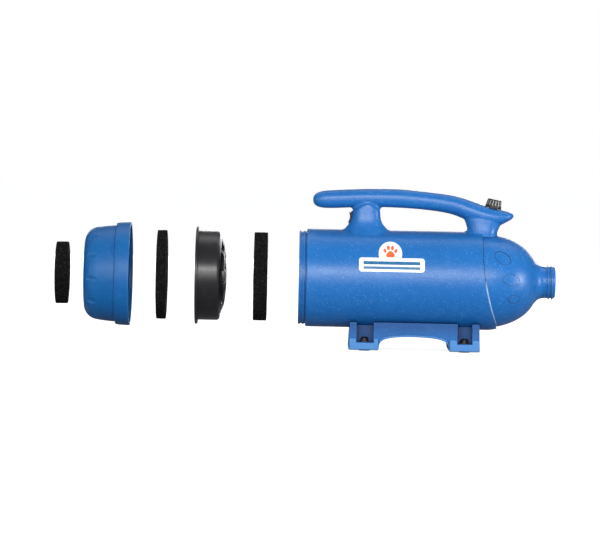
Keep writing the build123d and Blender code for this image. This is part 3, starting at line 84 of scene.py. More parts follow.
class Look:
    """One material, its shader nodes strung together in object-space metres."""

    def __init__(self, name):
        self.mat = bpy.data.materials.new(name)
        self.mat.use_nodes = True
        self.tree = self.mat.node_tree
        self.tree.nodes.clear()
        output = self.add("ShaderNodeOutputMaterial")
        self.bsdf = self.add("ShaderNodeBsdfPrincipled")
        self.link(self.bsdf.outputs[0], output.inputs[0])
        self.coord = self.add("ShaderNodeTexCoord").outputs["Object"]

    def add(self, kind, **props):
        node = self.tree.nodes.new(kind)
        for key, value in props.items():
            setattr(node, key, value)
        return node

    def link(self, source, target):
        self.tree.links.new(source, target)

    def put(self, socket, value):
        """Link a socket to another one, or set it to a plain value."""
        if isinstance(value, bpy.types.NodeSocket):
            self.link(value, socket)
        else:
            socket.default_value = value

    # -- patterns
    def noise(self, scale, detail=2.0, rough=0.5, stretch=None):
        node = self.add("ShaderNodeTexNoise")
        node.inputs["Scale"].default_value = scale
        node.inputs["Detail"].default_value = detail
        node.inputs["Roughness"].default_value = rough
        vector = self.coord
        if stretch is not None:
            mapping = self.add("ShaderNodeMapping")
            mapping.inputs["Scale"].default_value = stretch
            self.link(self.coord, mapping.inputs["Vector"])
            vector = mapping.outputs[0]
        self.link(vector, node.inputs["Vector"])
        return node.outputs["Fac"]

    def voronoi(self, scale, feature="F1", randomness=1.0):
        node = self.add("ShaderNodeTexVoronoi", feature=feature)
        node.inputs["Scale"].default_value = scale
        node.inputs["Randomness"].default_value = randomness
        self.link(self.coord, node.inputs["Vector"])
        return node.outputs["Distance"]

    def wave(self, scale, direction, distortion=0.0, detail=2.0):
        node = self.add("ShaderNodeTexWave", bands_direction=direction)
        node.inputs["Scale"].default_value = scale
        node.inputs["Distortion"].default_value = distortion
        node.inputs["Detail"].default_value = detail
        self.link(self.coord, node.inputs["Vector"])
        return node.outputs["Fac"]

    def axes(self):
        """The object-space X, Y and Z of the shaded point."""
        node = self.add("ShaderNodeSeparateXYZ")
        self.link(self.coord, node.inputs[0])
        return node.outputs

    def edges(self, radius=0.0011):
        """0 on open skin, 1 where the surface turns within the radius."""
        bevel = self.add("ShaderNodeBevel", samples=4)
        bevel.inputs["Radius"].default_value = radius
        geometry = self.add("ShaderNodeNewGeometry")
        dot = self.add("ShaderNodeVectorMath", operation="DOT_PRODUCT")
        self.link(bevel.outputs[0], dot.inputs[0])
        self.link(geometry.outputs["Normal"], dot.inputs[1])
        turned = self.math("SUBTRACT", 1.0, dot.outputs["Value"])
        return self.remap(turned, span=(0.02, 0.16))

    def hollow(self, distance=0.012):
        """0 in the open, 1 deep in corners and pockets."""
        node = self.add("ShaderNodeAmbientOcclusion", samples=6)
        node.inputs["Distance"].default_value = distance
        return self.remap(node.outputs["AO"], span=(0.85, 0.3))

    # -- combining
    def math(self, operation, first, second=0.5):
        node = self.add("ShaderNodeMath", operation=operation)
        self.put(node.inputs[0], first)
        self.put(node.inputs[1], second)
        return node.outputs[0]

    def times(self, first, second):
        return self.math("MULTIPLY", first, second)

    def remap(self, value, span, to=(0.0, 1.0)):
        """Carry the span of input values onto the range `to`, clamped."""
        node = self.add("ShaderNodeMapRange", clamp=True)
        self.put(node.inputs[0], value)
        for i, limit in enumerate((*span, *to)):
            node.inputs[i + 1].default_value = limit
        return node.outputs[0]

    def mix(self, factor, color, other):
        node = self.add("ShaderNodeMix", data_type="RGBA")
        self.put(node.inputs[0], factor)
        self.put(node.inputs[6], color)
        self.put(node.inputs[7], other)
        return node.outputs[2]

    def tint(self, color, other, pattern, span, amount=1.0):
        """Bring in the other colour, up to an amount, as the pattern crosses the span."""
        return self.mix(self.remap(pattern, span, to=(0.0, amount)), color, other)

    def bump(self, height, strength, distance, under=None):
        node = self.add("ShaderNodeBump")
        node.inputs["Strength"].default_value = strength
        node.inputs["Distance"].default_value = distance
        self.put(node.inputs["Height"], height)
        if under is not None:
            self.link(under, node.inputs["Normal"])
        return node.outputs[0]

    def finish(self, color, rough, normal, metallic=0.0, coat=0.0, coat_rough=0.2, spec=0.5):
        inputs = self.bsdf.inputs
        self.put(inputs["Base Color"], color)
        self.put(inputs["Roughness"], rough)
        inputs["Metallic"].default_value = metallic
        inputs["Specular IOR Level"].default_value = spec
        inputs["Coat Weight"].default_value = coat
        inputs["Coat Roughness"].default_value = coat_rough
        self.link(normal, inputs["Normal"])
        return self.mat


# ------------------------------------------------------------------ moulded plastic
def moulded(name, base, light, dark, rough, peel, fleck, edge_wear_and_highlight, spec,
            edge=0.0011, groove=0.0, marks=None):
    """Moulded plastic: mottled colour, paler edges that are partly rubbed wear and partly a
    painted highlight, painted shade in the corners, a fine orange-peel skin and uneven gloss.
    `marks` adds what only one piece has."""
    look = Look(name)
    broad = look.noise(9.0, detail=3.0)
    mid = look.noise(70.0, detail=3.0, rough=0.6)
    color = look.tint(base, dark, broad, span=(0.35, 0.68), amount=0.22)
    color = look.tint(color, light, mid, span=(0.5, 0.8), amount=0.10)
    # small pale flecks in the pigment, then finer grit both ways
    spots = look.voronoi(290.0)
    thin = look.noise(170.0)
    flecks = look.times(look.remap(spots, span=(0.34, 0.12)),
                        look.remap(thin, span=(0.50, 0.60)))
    color = look.mix(look.times(flecks, fleck), color, light)
    grit = look.noise(520.0, rough=0.6)
    color = look.tint(color, light, grit, span=(0.50, 0.72), amount=0.22 * fleck)
    color = look.tint(color, dark, grit, span=(0.48, 0.30), amount=0.30 * fleck)
    # paler edges outside the pockets, partly rubbed wear and partly painted highlight;
    # painted shade inside the pockets
    deep = look.hollow()
    patchy = look.remap(look.noise(140.0, detail=3.0), span=(0.25, 0.55), to=(0.35, 1.0))
    rubbed_and_lit_edges = look.times(look.edges(edge), patchy)
    rubbed_and_lit_edges = look.times(rubbed_and_lit_edges, look.math("SUBTRACT", 1.0, deep))
    color = look.mix(look.times(rubbed_and_lit_edges, edge_wear_and_highlight), color, light)
    color = look.mix(look.times(deep, 0.35), color, dark)
    if groove:
        # painted shade in narrow grooves
        groove_shade = look.times(look.hollow(0.0022), groove)
        color = look.mix(groove_shade, color, darker(dark, 0.35))
    if marks is not None:
        color = marks(look, color, light, dark)
    gloss = look.remap(look.noise(26.0, detail=4.0, rough=0.6), span=(0.3, 0.7), to=rough)
    gloss = look.math("ADD", gloss, look.times(rubbed_and_lit_edges, 0.12))
    skin = look.noise(420.0)
    swells = look.noise(60.0)
    normal = look.bump(swells, strength=0.10, distance=0.0012)
    normal = look.bump(skin, strength=peel, distance=0.0005, under=normal)
    return look.finish(color, gloss, normal, spec=spec, coat_rough=0.25)


SEAM_X, SEAM_Z = REAR_X + 0.588, AXIS_Z + 0.050    # centre of the arched joint
SEAM_RADIUS = 0.300


def seam_highlight(look, color, light, dark):
    """A painted highlight: a pale line along the lower half of the arched joint, on the near
    side.
    """
    axes = look.axes()
    along = look.math("SUBTRACT", axes["X"], SEAM_X)
    up = look.math("SUBTRACT", axes["Z"], SEAM_Z)
    away = look.math("SQRT", look.math("ADD", look.times(along, along), look.times(up, up)))
    inside = look.math("SUBTRACT", SEAM_RADIUS, away)
    line = look.remap(inside, span=(0.0024, 0.0019))
    low = look.remap(axes["Z"], span=(AXIS_Z + 0.004, AXIS_Z - 0.010), to=(0.0, 0.85))
    near = look.remap(axes["Y"], span=(0.012, -0.004))
    line = look.times(look.times(line, low), near)
    return look.mix(line, color, srgb(196, 226, 250))


CRADLE_HALF_WIDTH = 0.0496      # Y of the faces that stand out on either side


def cradle_shade_and_highlight(look, color, light, dark):
    """Painted shade, wide and soft, in sheltered places and towards the top under the barrel,
    and a painted highlight on the faces that stand out on both sides.
    """
    shade_colour = darker(dark, 0.45)
    # painted shade in sheltered places, and darker towards the top of the cradle under the
    # barrel
    color = look.mix(look.times(look.hollow(0.03), 0.75), color, shade_colour)
    color = look.tint(color, shade_colour, look.axes()["Z"],
                      span=(AXIS_Z - 0.093, AXIS_Z - 0.073), amount=0.5)
    # painted highlight on the faces that stand out on both sides
    sideways = look.math("ABSOLUTE", look.axes()["Y"])
    return look.tint(color, light, sideways,
                     span=(CRADLE_HALF_WIDTH - 0.0007, CRADLE_HALF_WIDTH), amount=0.55)


KNOB_X, KNOB_Z = REAR_X + 0.3052, AXIS_Z + 0.115
KNOB_TILT = math.radians(11.0)
KNOB_FLUTES = 16


def knob_crest_highlight(look, color, light, dark):
    """A painted highlight along the crests of the ribs between the grip flutes."""
    axes = look.axes()
    along = look.math("SUBTRACT", axes["X"], KNOB_X)
    up = look.math("SUBTRACT", axes["Z"], KNOB_Z)
    cosine, sine = math.cos(KNOB_TILT), math.sin(KNOB_TILT)
    across = look.math("SUBTRACT", look.times(along, cosine), look.times(up, sine))
    height = look.math("ADD", look.times(along, sine), look.times(up, cosine))
    angle = look.math("ARCTAN2", axes["Y"], across)
    ripple = look.math("COSINE", look.times(angle, float(KNOB_FLUTES)))
    crest = look.remap(ripple, span=(-0.35, -0.8))
    # fade out below and above the fluted band
    crest = look.times(crest, look.remap(height, span=(0.0045, 0.0058)))
    crest = look.times(crest, look.remap(height, span=(0.0134, 0.0124)))
    return look.mix(look.times(crest, 0.62), color, light)


BLUE_BODY = dict(
    base=srgb(22, 103, 176), light=srgb(96, 156, 216), dark=srgb(12, 76, 146),
    rough=(0.30, 0.40), peel=0.42, fleck=0.62, edge_wear_and_highlight=0.55, spec=0.42, groove=0.75)

MATERIALS = {
    "blue_shell": moulded("blue_shell", **BLUE_BODY),
    "blue_nose": moulded("blue_nose", **BLUE_BODY, marks=seam_highlight),
    "blue_cap": moulded(
        "blue_cap", base=srgb(10, 93, 158), light=srgb(84, 148, 206), dark=srgb(6, 70, 132),
        rough=(0.38, 0.48), peel=0.25, fleck=0.25, edge_wear_and_highlight=0.6, spec=0.3, groove=0.5),
    "blue_cradle": moulded(
        "blue_cradle", base=srgb(20, 100, 172), light=srgb(92, 154, 216),
        dark=srgb(10, 72, 142), rough=(0.40, 0.50), peel=0.35, fleck=0.45, edge_wear_and_highlight=0.75,
        spec=0.3, groove=0.4, marks=cradle_shade_and_highlight),
    "black_cup": moulded(
        "black_cup", base=srgb(24, 24, 27), light=srgb(70, 70, 72), dark=srgb(14, 14, 17),
        rough=(0.29, 0.36), peel=0.05, fleck=0.10, edge_wear_and_highlight=0.3, spec=0.5),
    "black_knob": moulded(
        "black_knob", base=srgb(22, 22, 23), light=srgb(196, 196, 192), dark=srgb(8, 8, 9),
        rough=(0.36, 0.5), peel=0.06, fleck=0.0, edge_wear_and_highlight=0.12, spec=0.4, edge=0.00055,
        groove=0.5, marks=knob_crest_highlight),
    "black_switch": moulded(
        "black_switch", base=srgb(14, 14, 15), light=srgb(60, 60, 60), dark=srgb(6, 6, 7),
        rough=(0.34, 0.46), peel=0.08, fleck=0.04, edge_wear_and_highlight=0.10, spec=0.3),
}


# ------------------------------------------------------------------ other materials
def foam_material():
    look = Look("open_cell_foam")
    cells = look.voronoi(620.0)
    fine = look.noise(900.0, detail=4.0, rough=0.7)
    broad = look.noise(40.0, detail=3.0)
    grains = look.noise(330.0, rough=0.8)
    color = look.tint(srgb(4, 4, 5), srgb(20, 20, 21), cells, span=(0.15, 0.75))
    color = look.tint(color, srgb(44, 44, 46), fine, span=(0.55, 0.8), amount=0.5)
    color = look.tint(color, srgb(52, 52, 53), grains, span=(0.54, 0.66), amount=0.75)
    color = look.tint(color, srgb(9, 9, 10), broad, span=(0.4, 0.7), amount=0.35)
    normal = look.bump(cells, strength=0.9, distance=0.0012)
    normal = look.bump(fine, strength=0.5, distance=0.0005, under=normal)
    return look.finish(color, 0.95, normal, spec=0.08)


def rubber_material():
    look = Look("soft_rubber")
    color = look.tint(srgb(20, 20, 21), srgb(44, 43, 42), look.noise(60.0, detail=3.0),
                      span=(0.35, 0.7))
    color = look.mix(look.times(look.edges(), 0.5), color, srgb(88, 86, 84))
    normal = look.bump(look.noise(700.0, detail=3.0, rough=0.6),
                       strength=0.25, distance=0.0004)
    gloss = look.remap(look.noise(90.0, detail=3.0), span=(0.3, 0.7), to=(0.62, 0.8))
    return look.finish(color, gloss, normal, spec=0.3)


def screw_material():
    look = Look("black_oxide_screw")
    color = look.tint(srgb(20, 20, 22), srgb(40, 40, 44), look.noise(300.0, detail=3.0),
                      span=(0.35, 0.7))
    color = look.mix(look.times(look.edges(), 0.8), color, srgb(150, 150, 155))
    normal = look.bump(look.noise(900.0), strength=0.15, distance=0.0002)
    gloss = look.remap(look.noise(200.0), span=(0.3, 0.7), to=(0.25, 0.42))
    return look.finish(color, gloss, normal, metallic=0.55)


def steel_material():
    look = Look("bright_steel")
    streak = look.noise(55.0, detail=4.0, rough=0.65, stretch=(40.0, 1.0, 1.0))
    color = look.tint(srgb(150, 152, 156), srgb(196, 198, 202), streak, span=(0.3, 0.7))
    color = look.tint(color, srgb(120, 116, 110), look.noise(22.0, detail=4.0),
                      span=(0.55, 0.75), amount=0.4)
    normal = look.bump(streak, strength=0.12, distance=0.0003)
    gloss = look.remap(streak, span=(0.3, 0.7), to=(0.24, 0.4))
    return look.finish(color, gloss, normal, metallic=1.0)


def lamination_material():
    look = Look("laminated_steel")
    sheets = look.wave(320.0, "X", distortion=0.3)
    color = look.mix(sheets, srgb(70, 70, 74), srgb(136, 137, 142))
    color = look.tint(color, srgb(110, 78, 58), look.noise(60.0, detail=4.0),
                      span=(0.5, 0.75), amount=0.5)
    normal = look.bump(sheets, strength=0.6, distance=0.0003)
    gloss = look.remap(look.noise(200.0, detail=3.0), span=(0.3, 0.7), to=(0.35, 0.55))
    return look.finish(color, gloss, normal, metallic=0.9)


def copper_material():
    look = Look("enamelled_wire")
    turns = look.wave(260.0, "DIAGONAL", distortion=1.4, detail=1.0)
    color = look.mix(turns, srgb(112, 48, 20), srgb(214, 122, 66))
    color = look.tint(color, srgb(90, 40, 20), look.noise(80.0, detail=3.0),
                      span=(0.5, 0.75), amount=0.35)
    normal = look.bump(turns, strength=0.9, distance=0.0004)
    gloss = look.remap(turns, span=(0.2, 0.8), to=(0.42, 0.26))
    return look.finish(color, gloss, normal, metallic=0.85, coat=0.6, coat_rough=0.15)


def metal_material(name, base, light, rough, metallic=1.0, grain=500.0, strength=0.12,
                   tarnish=None):
    """Grainy metal, with broad patches of tarnish if a colour is given for it."""
    look = Look(name)
    color = look.tint(base, light, look.noise(grain, detail=3.0, rough=0.6),
                      span=(0.35, 0.68))
    if tarnish is not None:
        color = look.tint(color, tarnish, look.noise(35.0, detail=4.0),
                          span=(0.52, 0.75), amount=0.6)
    normal = look.bump(look.noise(grain, detail=3.0, rough=0.6),
                       strength=strength, distance=0.0004)
    gloss = look.remap(look.noise(120.0, detail=3.0), span=(0.3, 0.7), to=rough)
    return look.finish(color, gloss, normal, metallic=metallic)


def board_material():
    look = Look("green_board")
    weave = look.times(look.wave(420.0, "X"), look.wave(420.0, "Y"))
    tracks = look.voronoi(190.0, feature="DISTANCE_TO_EDGE", randomness=0.35)
    color = look.tint(srgb(30, 110, 62), srgb(16, 74, 40), tracks, span=(0.08, 0.11))
    color = look.tint(color, srgb(60, 130, 80), weave, span=(0.3, 0.9), amount=0.2)
    normal = look.bump(tracks, strength=0.25, distance=0.0003)
    return look.finish(color, 0.34, normal, coat=0.5)


def wire_material():
    look = Look("wire_jacket")
    color = look.tint(srgb(22, 22, 24), srgb(48, 48, 52), look.noise(120.0),
                      span=(0.35, 0.7))
    normal = look.bump(look.wave(420.0, "Z", distortion=2.0), strength=0.2, distance=0.0002)
    gloss = look.remap(look.noise(80.0, detail=3.0), span=(0.3, 0.7), to=(0.36, 0.52))
    return look.finish(color, gloss, normal)


def label_material(name, base, light):
    look = Look(name)
    color = look.tint(base, light, look.noise(260.0, detail=3.0, rough=0.6),
                      span=(0.4, 0.7))
    normal = look.bump(look.noise(500.0), strength=0.12, distance=0.0002)
    gloss = look.remap(look.noise(90.0, detail=3.0), span=(0.3, 0.7), to=(0.26, 0.4))
    return look.finish(color, gloss, normal, coat=0.4, coat_rough=0.12)


MATERIALS.update({
    "foam": foam_material(),
    "rubber": rubber_material(),
    "black_screw": screw_material(),
    "steel": steel_material(),
    "lamination": lamination_material(),
    "copper": copper_material(),
    "brass": metal_material(
        "brass_part", base=srgb(196, 158, 84), light=srgb(222, 190, 116),
        rough=(0.25, 0.4), tarnish=srgb(140, 100, 52)),
    "carbon": metal_material(
        "carbon_brush", base=srgb(26, 26, 28), light=srgb(52, 52, 55),
        rough=(0.5, 0.7), metallic=0.2, grain=900.0, strength=0.3),
    "aluminium": metal_material(
        "cast_aluminium", base=srgb(166, 168, 170), light=srgb(196, 198, 200),
        rough=(0.34, 0.5), grain=380.0, strength=0.3, tarnish=srgb(130, 132, 136)),
    "board": board_material(),
    "wire": wire_material(),
    "label": label_material("label_film", srgb(236, 241, 246), srgb(250, 252, 253)),
    "paw_print": label_material("label_orange", srgb(232, 92, 42), srgb(244, 122, 66)),
    "label_bars": label_material("label_blue", srgb(18, 92, 140), srgb(34, 116, 160)),
    "switch_marks": label_material("switch_marks", srgb(214, 214, 212), srgb(232, 232, 230)),
})

# ------------------------------------------------------------------ painting the CAD pieces
# pieces that take a material other than the one their record slot names
OWN_MATERIAL = {
    "switch_housing": "black_switch",
    "power_rocker": "black_switch",
    "power_inlet": "black_switch",
    "nose_shell": "blue_nose",
    "rear_cap": "blue_cap",
    "base_cradle": "blue_cradle",
}
slot_of = {part["node"]: part.get("material_slot")
           for part in frame["record"].get("subparts", [])}

for name, obj in frame["nodes"].items():
    key = OWN_MATERIAL[name] if name in OWN_MATERIAL else slot_of[name]
    obj.data.materials.clear()
    obj.data.materials.append(MATERIALS[key])
    for polygon in obj.data.polygons:
        polygon.material_index = 0


def new_object(name, verts, faces, material, smooth):
    mesh = bpy.data.meshes.new(name)
    mesh.from_pydata([tuple(v) for v in verts], [], faces)
    mesh.update()
    obj = bpy.data.objects.new(name, mesh)
    bpy.context.scene.collection.objects.link(obj)
    bm = bmesh.new()
    bm.from_mesh(mesh)
    bmesh.ops.recalc_face_normals(bm, faces=bm.faces)
    bm.to_mesh(mesh)
    bm.free()
    mesh.materials.append(material)
    for polygon in mesh.polygons:
        polygon.use_smooth = smooth
    return obj


# ------------------------------------------------------------------ foam discs
FOAM_STEP = 0.0014         # mesh spacing
FOAM_SOFT = 0.0016         # radius of the softened rim corners
CORNER_STEPS = 4
PIT_DEPTH, PIT_REACH = 0.0009, 0.42    # open cells; reach is in cell widths
FINE_DEPTH = 0.00022
LUMP_DEPTH = 0.0005
RAG_DEPTH = 0.0003         # knife marks on the rim


def foam_profile(left, right, radius):
    """(x, r, (normal x, normal r)) from the left centre round the rim to the right one."""
    flat_radius = radius - FOAM_SOFT
    rings = max(8, int(round(flat_radius / FOAM_STEP)))

    def half(face_x, side):
        points = [(face_x, flat_radius * k / rings, (side, 0.0)) for k in range(1, rings + 1)]
        for k in range(1, CORNER_STEPS):
            turn = math.pi / 2 * k / CORNER_STEPS
            points.append((face_x - side * FOAM_SOFT * (1 - math.cos(turn)),
                           flat_radius + FOAM_SOFT * math.sin(turn),
                           (side * math.cos(turn), math.sin(turn))))
        return points

    width = right - left - 2 * FOAM_SOFT
    steps = max(3, int(round(width / FOAM_STEP)))
    rim = [(left + FOAM_SOFT + width * k / steps, radius, (0.0, 1.0))
           for k in range(steps + 1)]
    return half(left, -1.0) + rim + half(right, 1.0)[::-1]


def foam_disc(node, body, seed, dome):
    """An open-cell foam disc cut from sheet: pitted faces, a ragged rim and a rear face
    swollen by `dome`, in place of its plain solid."""
    lo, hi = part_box(node)
    radius = (hi.z - lo.z) / 2
    centre_y, centre_z = (lo.y + hi.y) / 2, (lo.z + hi.z) / 2
    profile = foam_profile(lo.x, hi.x, radius)
    segments = int(round(2 * math.pi * radius / FOAM_STEP))
    shift = Vector((seed * 1.37, seed * 2.11, seed * 0.73))

    def place(x, r, normal, angle):
        cosine, sine = math.cos(angle), math.sin(angle)
        point = Vector((x, centre_y + r * cosine, centre_z + r * sine))
        outward = Vector((normal[0], normal[1] * cosine, normal[1] * sine))
        swell = dome * max(0.0, 1 - (r / radius) ** 2) if normal[0] < -0.5 else 0.0
        sample = point + shift
        cell = noise.voronoi(sample * 430.0)[0][0]
        pit = max(0.0, PIT_REACH - cell) / PIT_REACH
        fine = noise.noise(sample * 900.0)
        wide = noise.noise(sample * 55.0)
        ragged = RAG_DEPTH * noise.noise(sample * 260.0) if normal[1] > 0.5 else 0.0
        offset = (swell - PIT_DEPTH * pit - FINE_DEPTH * abs(fine)
                  - LUMP_DEPTH * (0.5 + 0.5 * wide) + ragged)
        return point + outward * offset

    verts = [place(lo.x, 0.0, (-1.0, 0.0), 0.0)]
    for x, r, normal in profile:
        for i in range(segments):
            verts.append(place(x, r, normal, 2 * math.pi * i / segments))
    verts.append(place(hi.x, 0.0, (1.0, 0.0), 0.0))
    last = len(verts) - 1
    last_ring = 1 + (len(profile) - 1) * segments
    faces = []
    for i in range(segments):
        j = (i + 1) % segments
        faces.append((0, 1 + j, 1 + i))
        for k in range(len(profile) - 1):
            ring = 1 + k * segments
            after = ring + segments
            faces.append((ring + i, ring + j, after + j, after + i))
        faces.append((last, last_ring + i, last_ring + j))
    obj = new_object(f"{node}_cells", verts, faces, MATERIALS["foam"], smooth=True)
    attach(obj, body)
    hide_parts(node)


foam_disc("prefilter_foam", "prefilter", seed=3, dome=0.0016)
foam_disc("outer_foam_disc", "outer_foam", seed=7, dome=0.0)
foam_disc("inner_foam_disc", "inner_foam", seed=11, dome=0.0)

# ------------------------------------------------------------------ label print
# Outlines are (u, v) in millimetres seen from the near side: u forward from the rear end,
# v up from the barrel axis.
PRINT_RADIUS = 0.07794     # underside of the print, from the barrel axis
PRINT_THICK = 0.00012
PRINT_EDGE = 2.0           # longer edges are split, millimetres


def wrapped(name, outline, material):
    """A thin printed shape wrapped on the near side of the barrel."""
    bm = bmesh.new()
    face = bm.faces.new([bm.verts.new((u, v, 0)) for u, v in outline])
    bmesh.ops.triangulate(bm, faces=[face])
    for cuts in (2, 1, 1):
        long_edges = [edge for edge in bm.edges if edge.calc_length() > PRINT_EDGE]
        if long_edges:
            bmesh.ops.subdivide_edges(bm, edges=long_edges, cuts=cuts)
            bmesh.ops.triangulate(bm, faces=bm.faces[:])
    bm.verts.ensure_lookup_table()
    flat = [(v.co.x / 1000, v.co.y / 1000) for v in bm.verts]
    triangles = [[v.index for v in f.verts] for f in bm.faces]
    border = [(edge.verts[0].index, edge.verts[1].index)
              for edge in bm.edges if len(edge.link_faces) == 1]
    bm.free()

    def on_barrel(u, v, radius):
        angle = math.asin(v / PRINT_RADIUS)
        return (REAR_X + u, -radius * math.cos(angle), AXIS_Z + radius * math.sin(angle))

    count = len(flat)
    verts = [on_barrel(u, v, radius)
             for radius in (PRINT_RADIUS, PRINT_RADIUS + PRINT_THICK) for u, v in flat]
    faces = [tuple(t) for t in triangles]
    faces += [tuple(count + i for i in reversed(t)) for t in triangles]
    faces += [(a, b, count + b, count + a) for a, b in border]
    obj = new_object(name, verts, faces, material, smooth=False)
    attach(obj, "housing")


def toe_outline(centre_u, centre_v, half_width, half_height, turn, count=28):
    """An ellipse turned by an angle in degrees."""
    cosine, sine = math.cos(math.radians(turn)), math.sin(math.radians(turn))
    points = []
    for k in range(count):
        angle = 2 * math.pi * k / count
        x, y = half_width * math.cos(angle), half_height * math.sin(angle)
        points.append((centre_u + x * cosine - y * sine, centre_v + x * sine + y * cosine))
    return points


def pad_outline(centre_u, centre_v, width, height, count=56):
    """A rounded triangle with a soft dent below."""
    points = []
    for k in range(count):
        angle = 2 * math.pi * k / count
        cosine, sine = math.cos(angle), math.sin(angle)
        r = 1.0 + 0.10 * math.cos(3 * (angle - math.pi / 2))
        dent = 0.16 * max(0.0, -sine) ** 6
        points.append((centre_u + width * r * cosine, centre_v + height * (r - dent) * sine))
    return points


def bar_outline(u0, u1, v0, v1, radius=1.2, count=6):
    """A rectangle with rounded corners."""
    corners = ((u1 - radius, v1 - radius, 0), (u0 + radius, v1 - radius, 90),
               (u0 + radius, v0 + radius, 180), (u1 - radius, v0 + radius, 270))
    points = []
    for centre_u, centre_v, start in corners:
        for k in range(count + 1):
            angle = math.radians(start + 90 * k / count)
            points.append((centre_u + radius * math.cos(angle),
                           centre_v + radius * math.sin(angle)))
    return points


PAW_U, PAW_V = 143.0, 44.6
# offset u, offset v, half width, half height, turn in degrees
TOES = (
    (-8.6, 2.4, 2.3, 3.3, 24),
    (-3.3, 6.8, 2.4, 3.6, 8),
    (3.3, 6.8, 2.4, 3.6, -8),
    (8.6, 2.4, 2.3, 3.3, -24),
)
BAR_U0, BAR_U1 = 101.0, 190.0

wrapped("label_paw_pad", pad_outline(PAW_U, PAW_V - 3.6, width=6.6, height=5.2),
        MATERIALS["paw_print"])
for number, (du, dv, *shape) in enumerate(TOES, start=1):
    wrapped(f"label_paw_toe_{number}", toe_outline(PAW_U + du, PAW_V + dv, *shape),
            MATERIALS["paw_print"])
for name, bottom, top in (("label_bar_upper", 25.6, 30.6), ("label_bar_lower", 18.4, 22.6)):
    wrapped(name, bar_outline(BAR_U0, BAR_U1, bottom, top), MATERIALS["label_bars"])


# ------------------------------------------------------------------ floor and world
def add_node(tree, kind, **inputs):
    node = tree.nodes.new(kind)
    for socket, value in inputs.items():
        node.inputs[socket].default_value = value
    return node


def split_by_ray(tree, output_kind, lit, seen):
    """Output `seen` to camera rays and `lit` to all others."""
    path = tree.nodes.new("ShaderNodeLightPath")
    mix = tree.nodes.new("ShaderNodeMixShader")
    output = tree.nodes.new(output_kind)
    tree.links.new(path.outputs["Is Camera Ray"], mix.inputs[0])
    tree.links.new(lit.outputs[0], mix.inputs[1])
    tree.links.new(seen.outputs[0], mix.inputs[2])
    tree.links.new(mix.outputs[0], output.inputs[0])


def floor_material():
    """Looks nearly white, but bounces little light onto the machine."""
    material = bpy.data.materials.new("pale_floor")
    material.use_nodes = True
    tree = material.node_tree
    tree.nodes.clear()
    diffuse = add_node(tree, "ShaderNodeBsdfDiffuse", Color=(0.55, 0.55, 0.55, 1))
    glow = add_node(tree, "ShaderNodeEmission", Color=(1, 1, 1, 1), Strength=0.86)
    seen = tree.nodes.new("ShaderNodeAddShader")
    bounce = add_node(tree, "ShaderNodeBsdfDiffuse", Color=(0.34, 0.34, 0.35, 1))
    tree.links.new(diffuse.outputs[0], seen.inputs[0])
    tree.links.new(glow.outputs[0], seen.inputs[1])
    split_by_ray(tree, "ShaderNodeOutputMaterial", lit=bounce, seen=seen)
    return material


bpy.ops.mesh.primitive_circle_add(vertices=128, radius=14.0, fill_type="NGON",
                                  location=(0, 0, -0.0004))
floor = bpy.context.object
floor.name = "floor"
floor.data.materials.append(floor_material())


def build_world():
    """White to the camera; a dim sky, brighter overhead, to everything else."""
    world = bpy.data.worlds.new("studio")
    world.use_nodes = True
    bpy.context.scene.world = world
    tree = world.node_tree
    tree.nodes.clear()
    seen = add_node(tree, "ShaderNodeBackground", Color=(1, 1, 1, 1), Strength=1.0)
    lit = add_node(tree, "ShaderNodeBackground", Color=(0.96, 0.98, 1.0, 1))
    coord = tree.nodes.new("ShaderNodeTexCoord")
    axes = tree.nodes.new("ShaderNodeSeparateXYZ")
    # direction Z from 0.12 to 0.75 carries the strength from 0.08 to 0.30
    rise = tree.nodes.new("ShaderNodeMapRange")
    rise.interpolation_type = "SMOOTHSTEP"
    for i, limit in enumerate((0.12, 0.75, 0.08, 0.30)):
        rise.inputs[i + 1].default_value = limit
    tree.links.new(coord.outputs["Generated"], axes.inputs[0])
    tree.links.new(axes.outputs["Z"], rise.inputs[0])
    tree.links.new(rise.outputs[0], lit.inputs["Strength"])
    split_by_ray(tree, "ShaderNodeOutputWorld", lit=lit, seen=seen)


build_world()

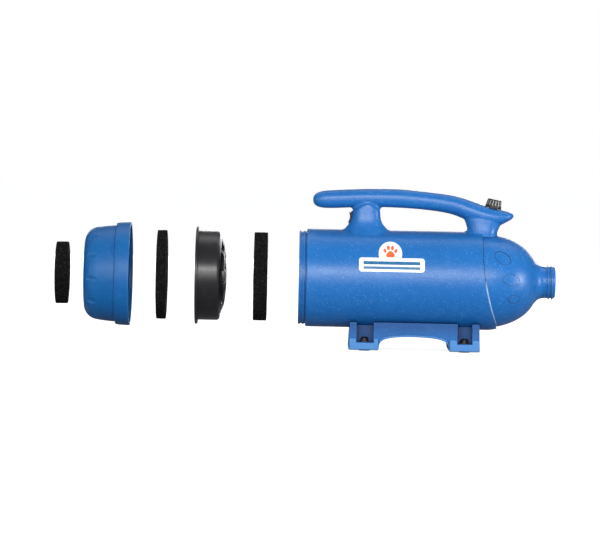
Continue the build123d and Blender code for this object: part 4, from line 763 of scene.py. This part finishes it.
# ------------------------------------------------------------------ lights
# name, place, aim, width, height, watts
SOFTBOXES = (
    ("front_strip", (0.25, -3.0, 1.14), (0.08, 0.0, 0.12), 3.0, 0.24, 58),
    ("front_fill", (-0.5, -3.6, 0.35), (0.0, 0.0, 0.12), 3.6, 2.4, 94),
    ("overhead", (0.0, 0.75, 2.2), (0.0, 0.0, 0.15), 3.2, 0.9, 14),
    ("side_right", (2.3, -0.95, 0.36), (0.3, 0.0, 0.12), 0.34, 0.7, 30),
    ("side_left", (-2.4, -1.6, 0.30), (0.1, 0.0, 0.08), 0.9, 0.9, 12),
    ("back_fill", (0.3, 3.6, 0.45), (0.0, 0.0, 0.12), 3.4, 1.6, 62),
)
for name, place, aim, width, height, watts in SOFTBOXES:
    light = bpy.data.lights.new(name, "AREA")
    light.shape = "RECTANGLE"
    light.size, light.size_y = width, height
    light.energy = watts
    box = bpy.data.objects.new(name, light)
    bpy.context.scene.collection.objects.link(box)
    box.location = place
    box.visible_camera = False
    box.rotation_mode = "QUATERNION"
    box.rotation_quaternion = (Vector(aim) - Vector(place)).to_track_quat("-Z", "Y")

# ------------------------------------------------------------------ camera
CAMERA_AIM = Vector((-0.0091, 0.0, 0.1277))
CAMERA_DISTANCE = 5.8
CAMERA_RISE = math.radians(2.3)
CAMERA_ROLL = math.radians(1.2)

lens = bpy.data.cameras.new("camera")
lens.sensor_width = 36.0
lens.lens = 219.6
lens.clip_start, lens.clip_end = 0.1, 100.0
camera = bpy.data.objects.new("camera", lens)
bpy.context.scene.collection.objects.link(camera)
bpy.context.scene.camera = camera
camera.location = CAMERA_AIM + CAMERA_DISTANCE * Vector(
    (0.0, -math.cos(CAMERA_RISE), math.sin(CAMERA_RISE)))
camera.rotation_mode = "QUATERNION"
facing = (CAMERA_AIM - camera.location).to_track_quat("-Z", "Y")
camera.rotation_quaternion = facing @ Matrix.Rotation(CAMERA_ROLL, 4, "Z").to_quaternion()

view = bpy.context.scene.view_settings
view.view_transform = "Standard"
view.look = "None"
view.exposure = 0.0
view.gamma = 1.0
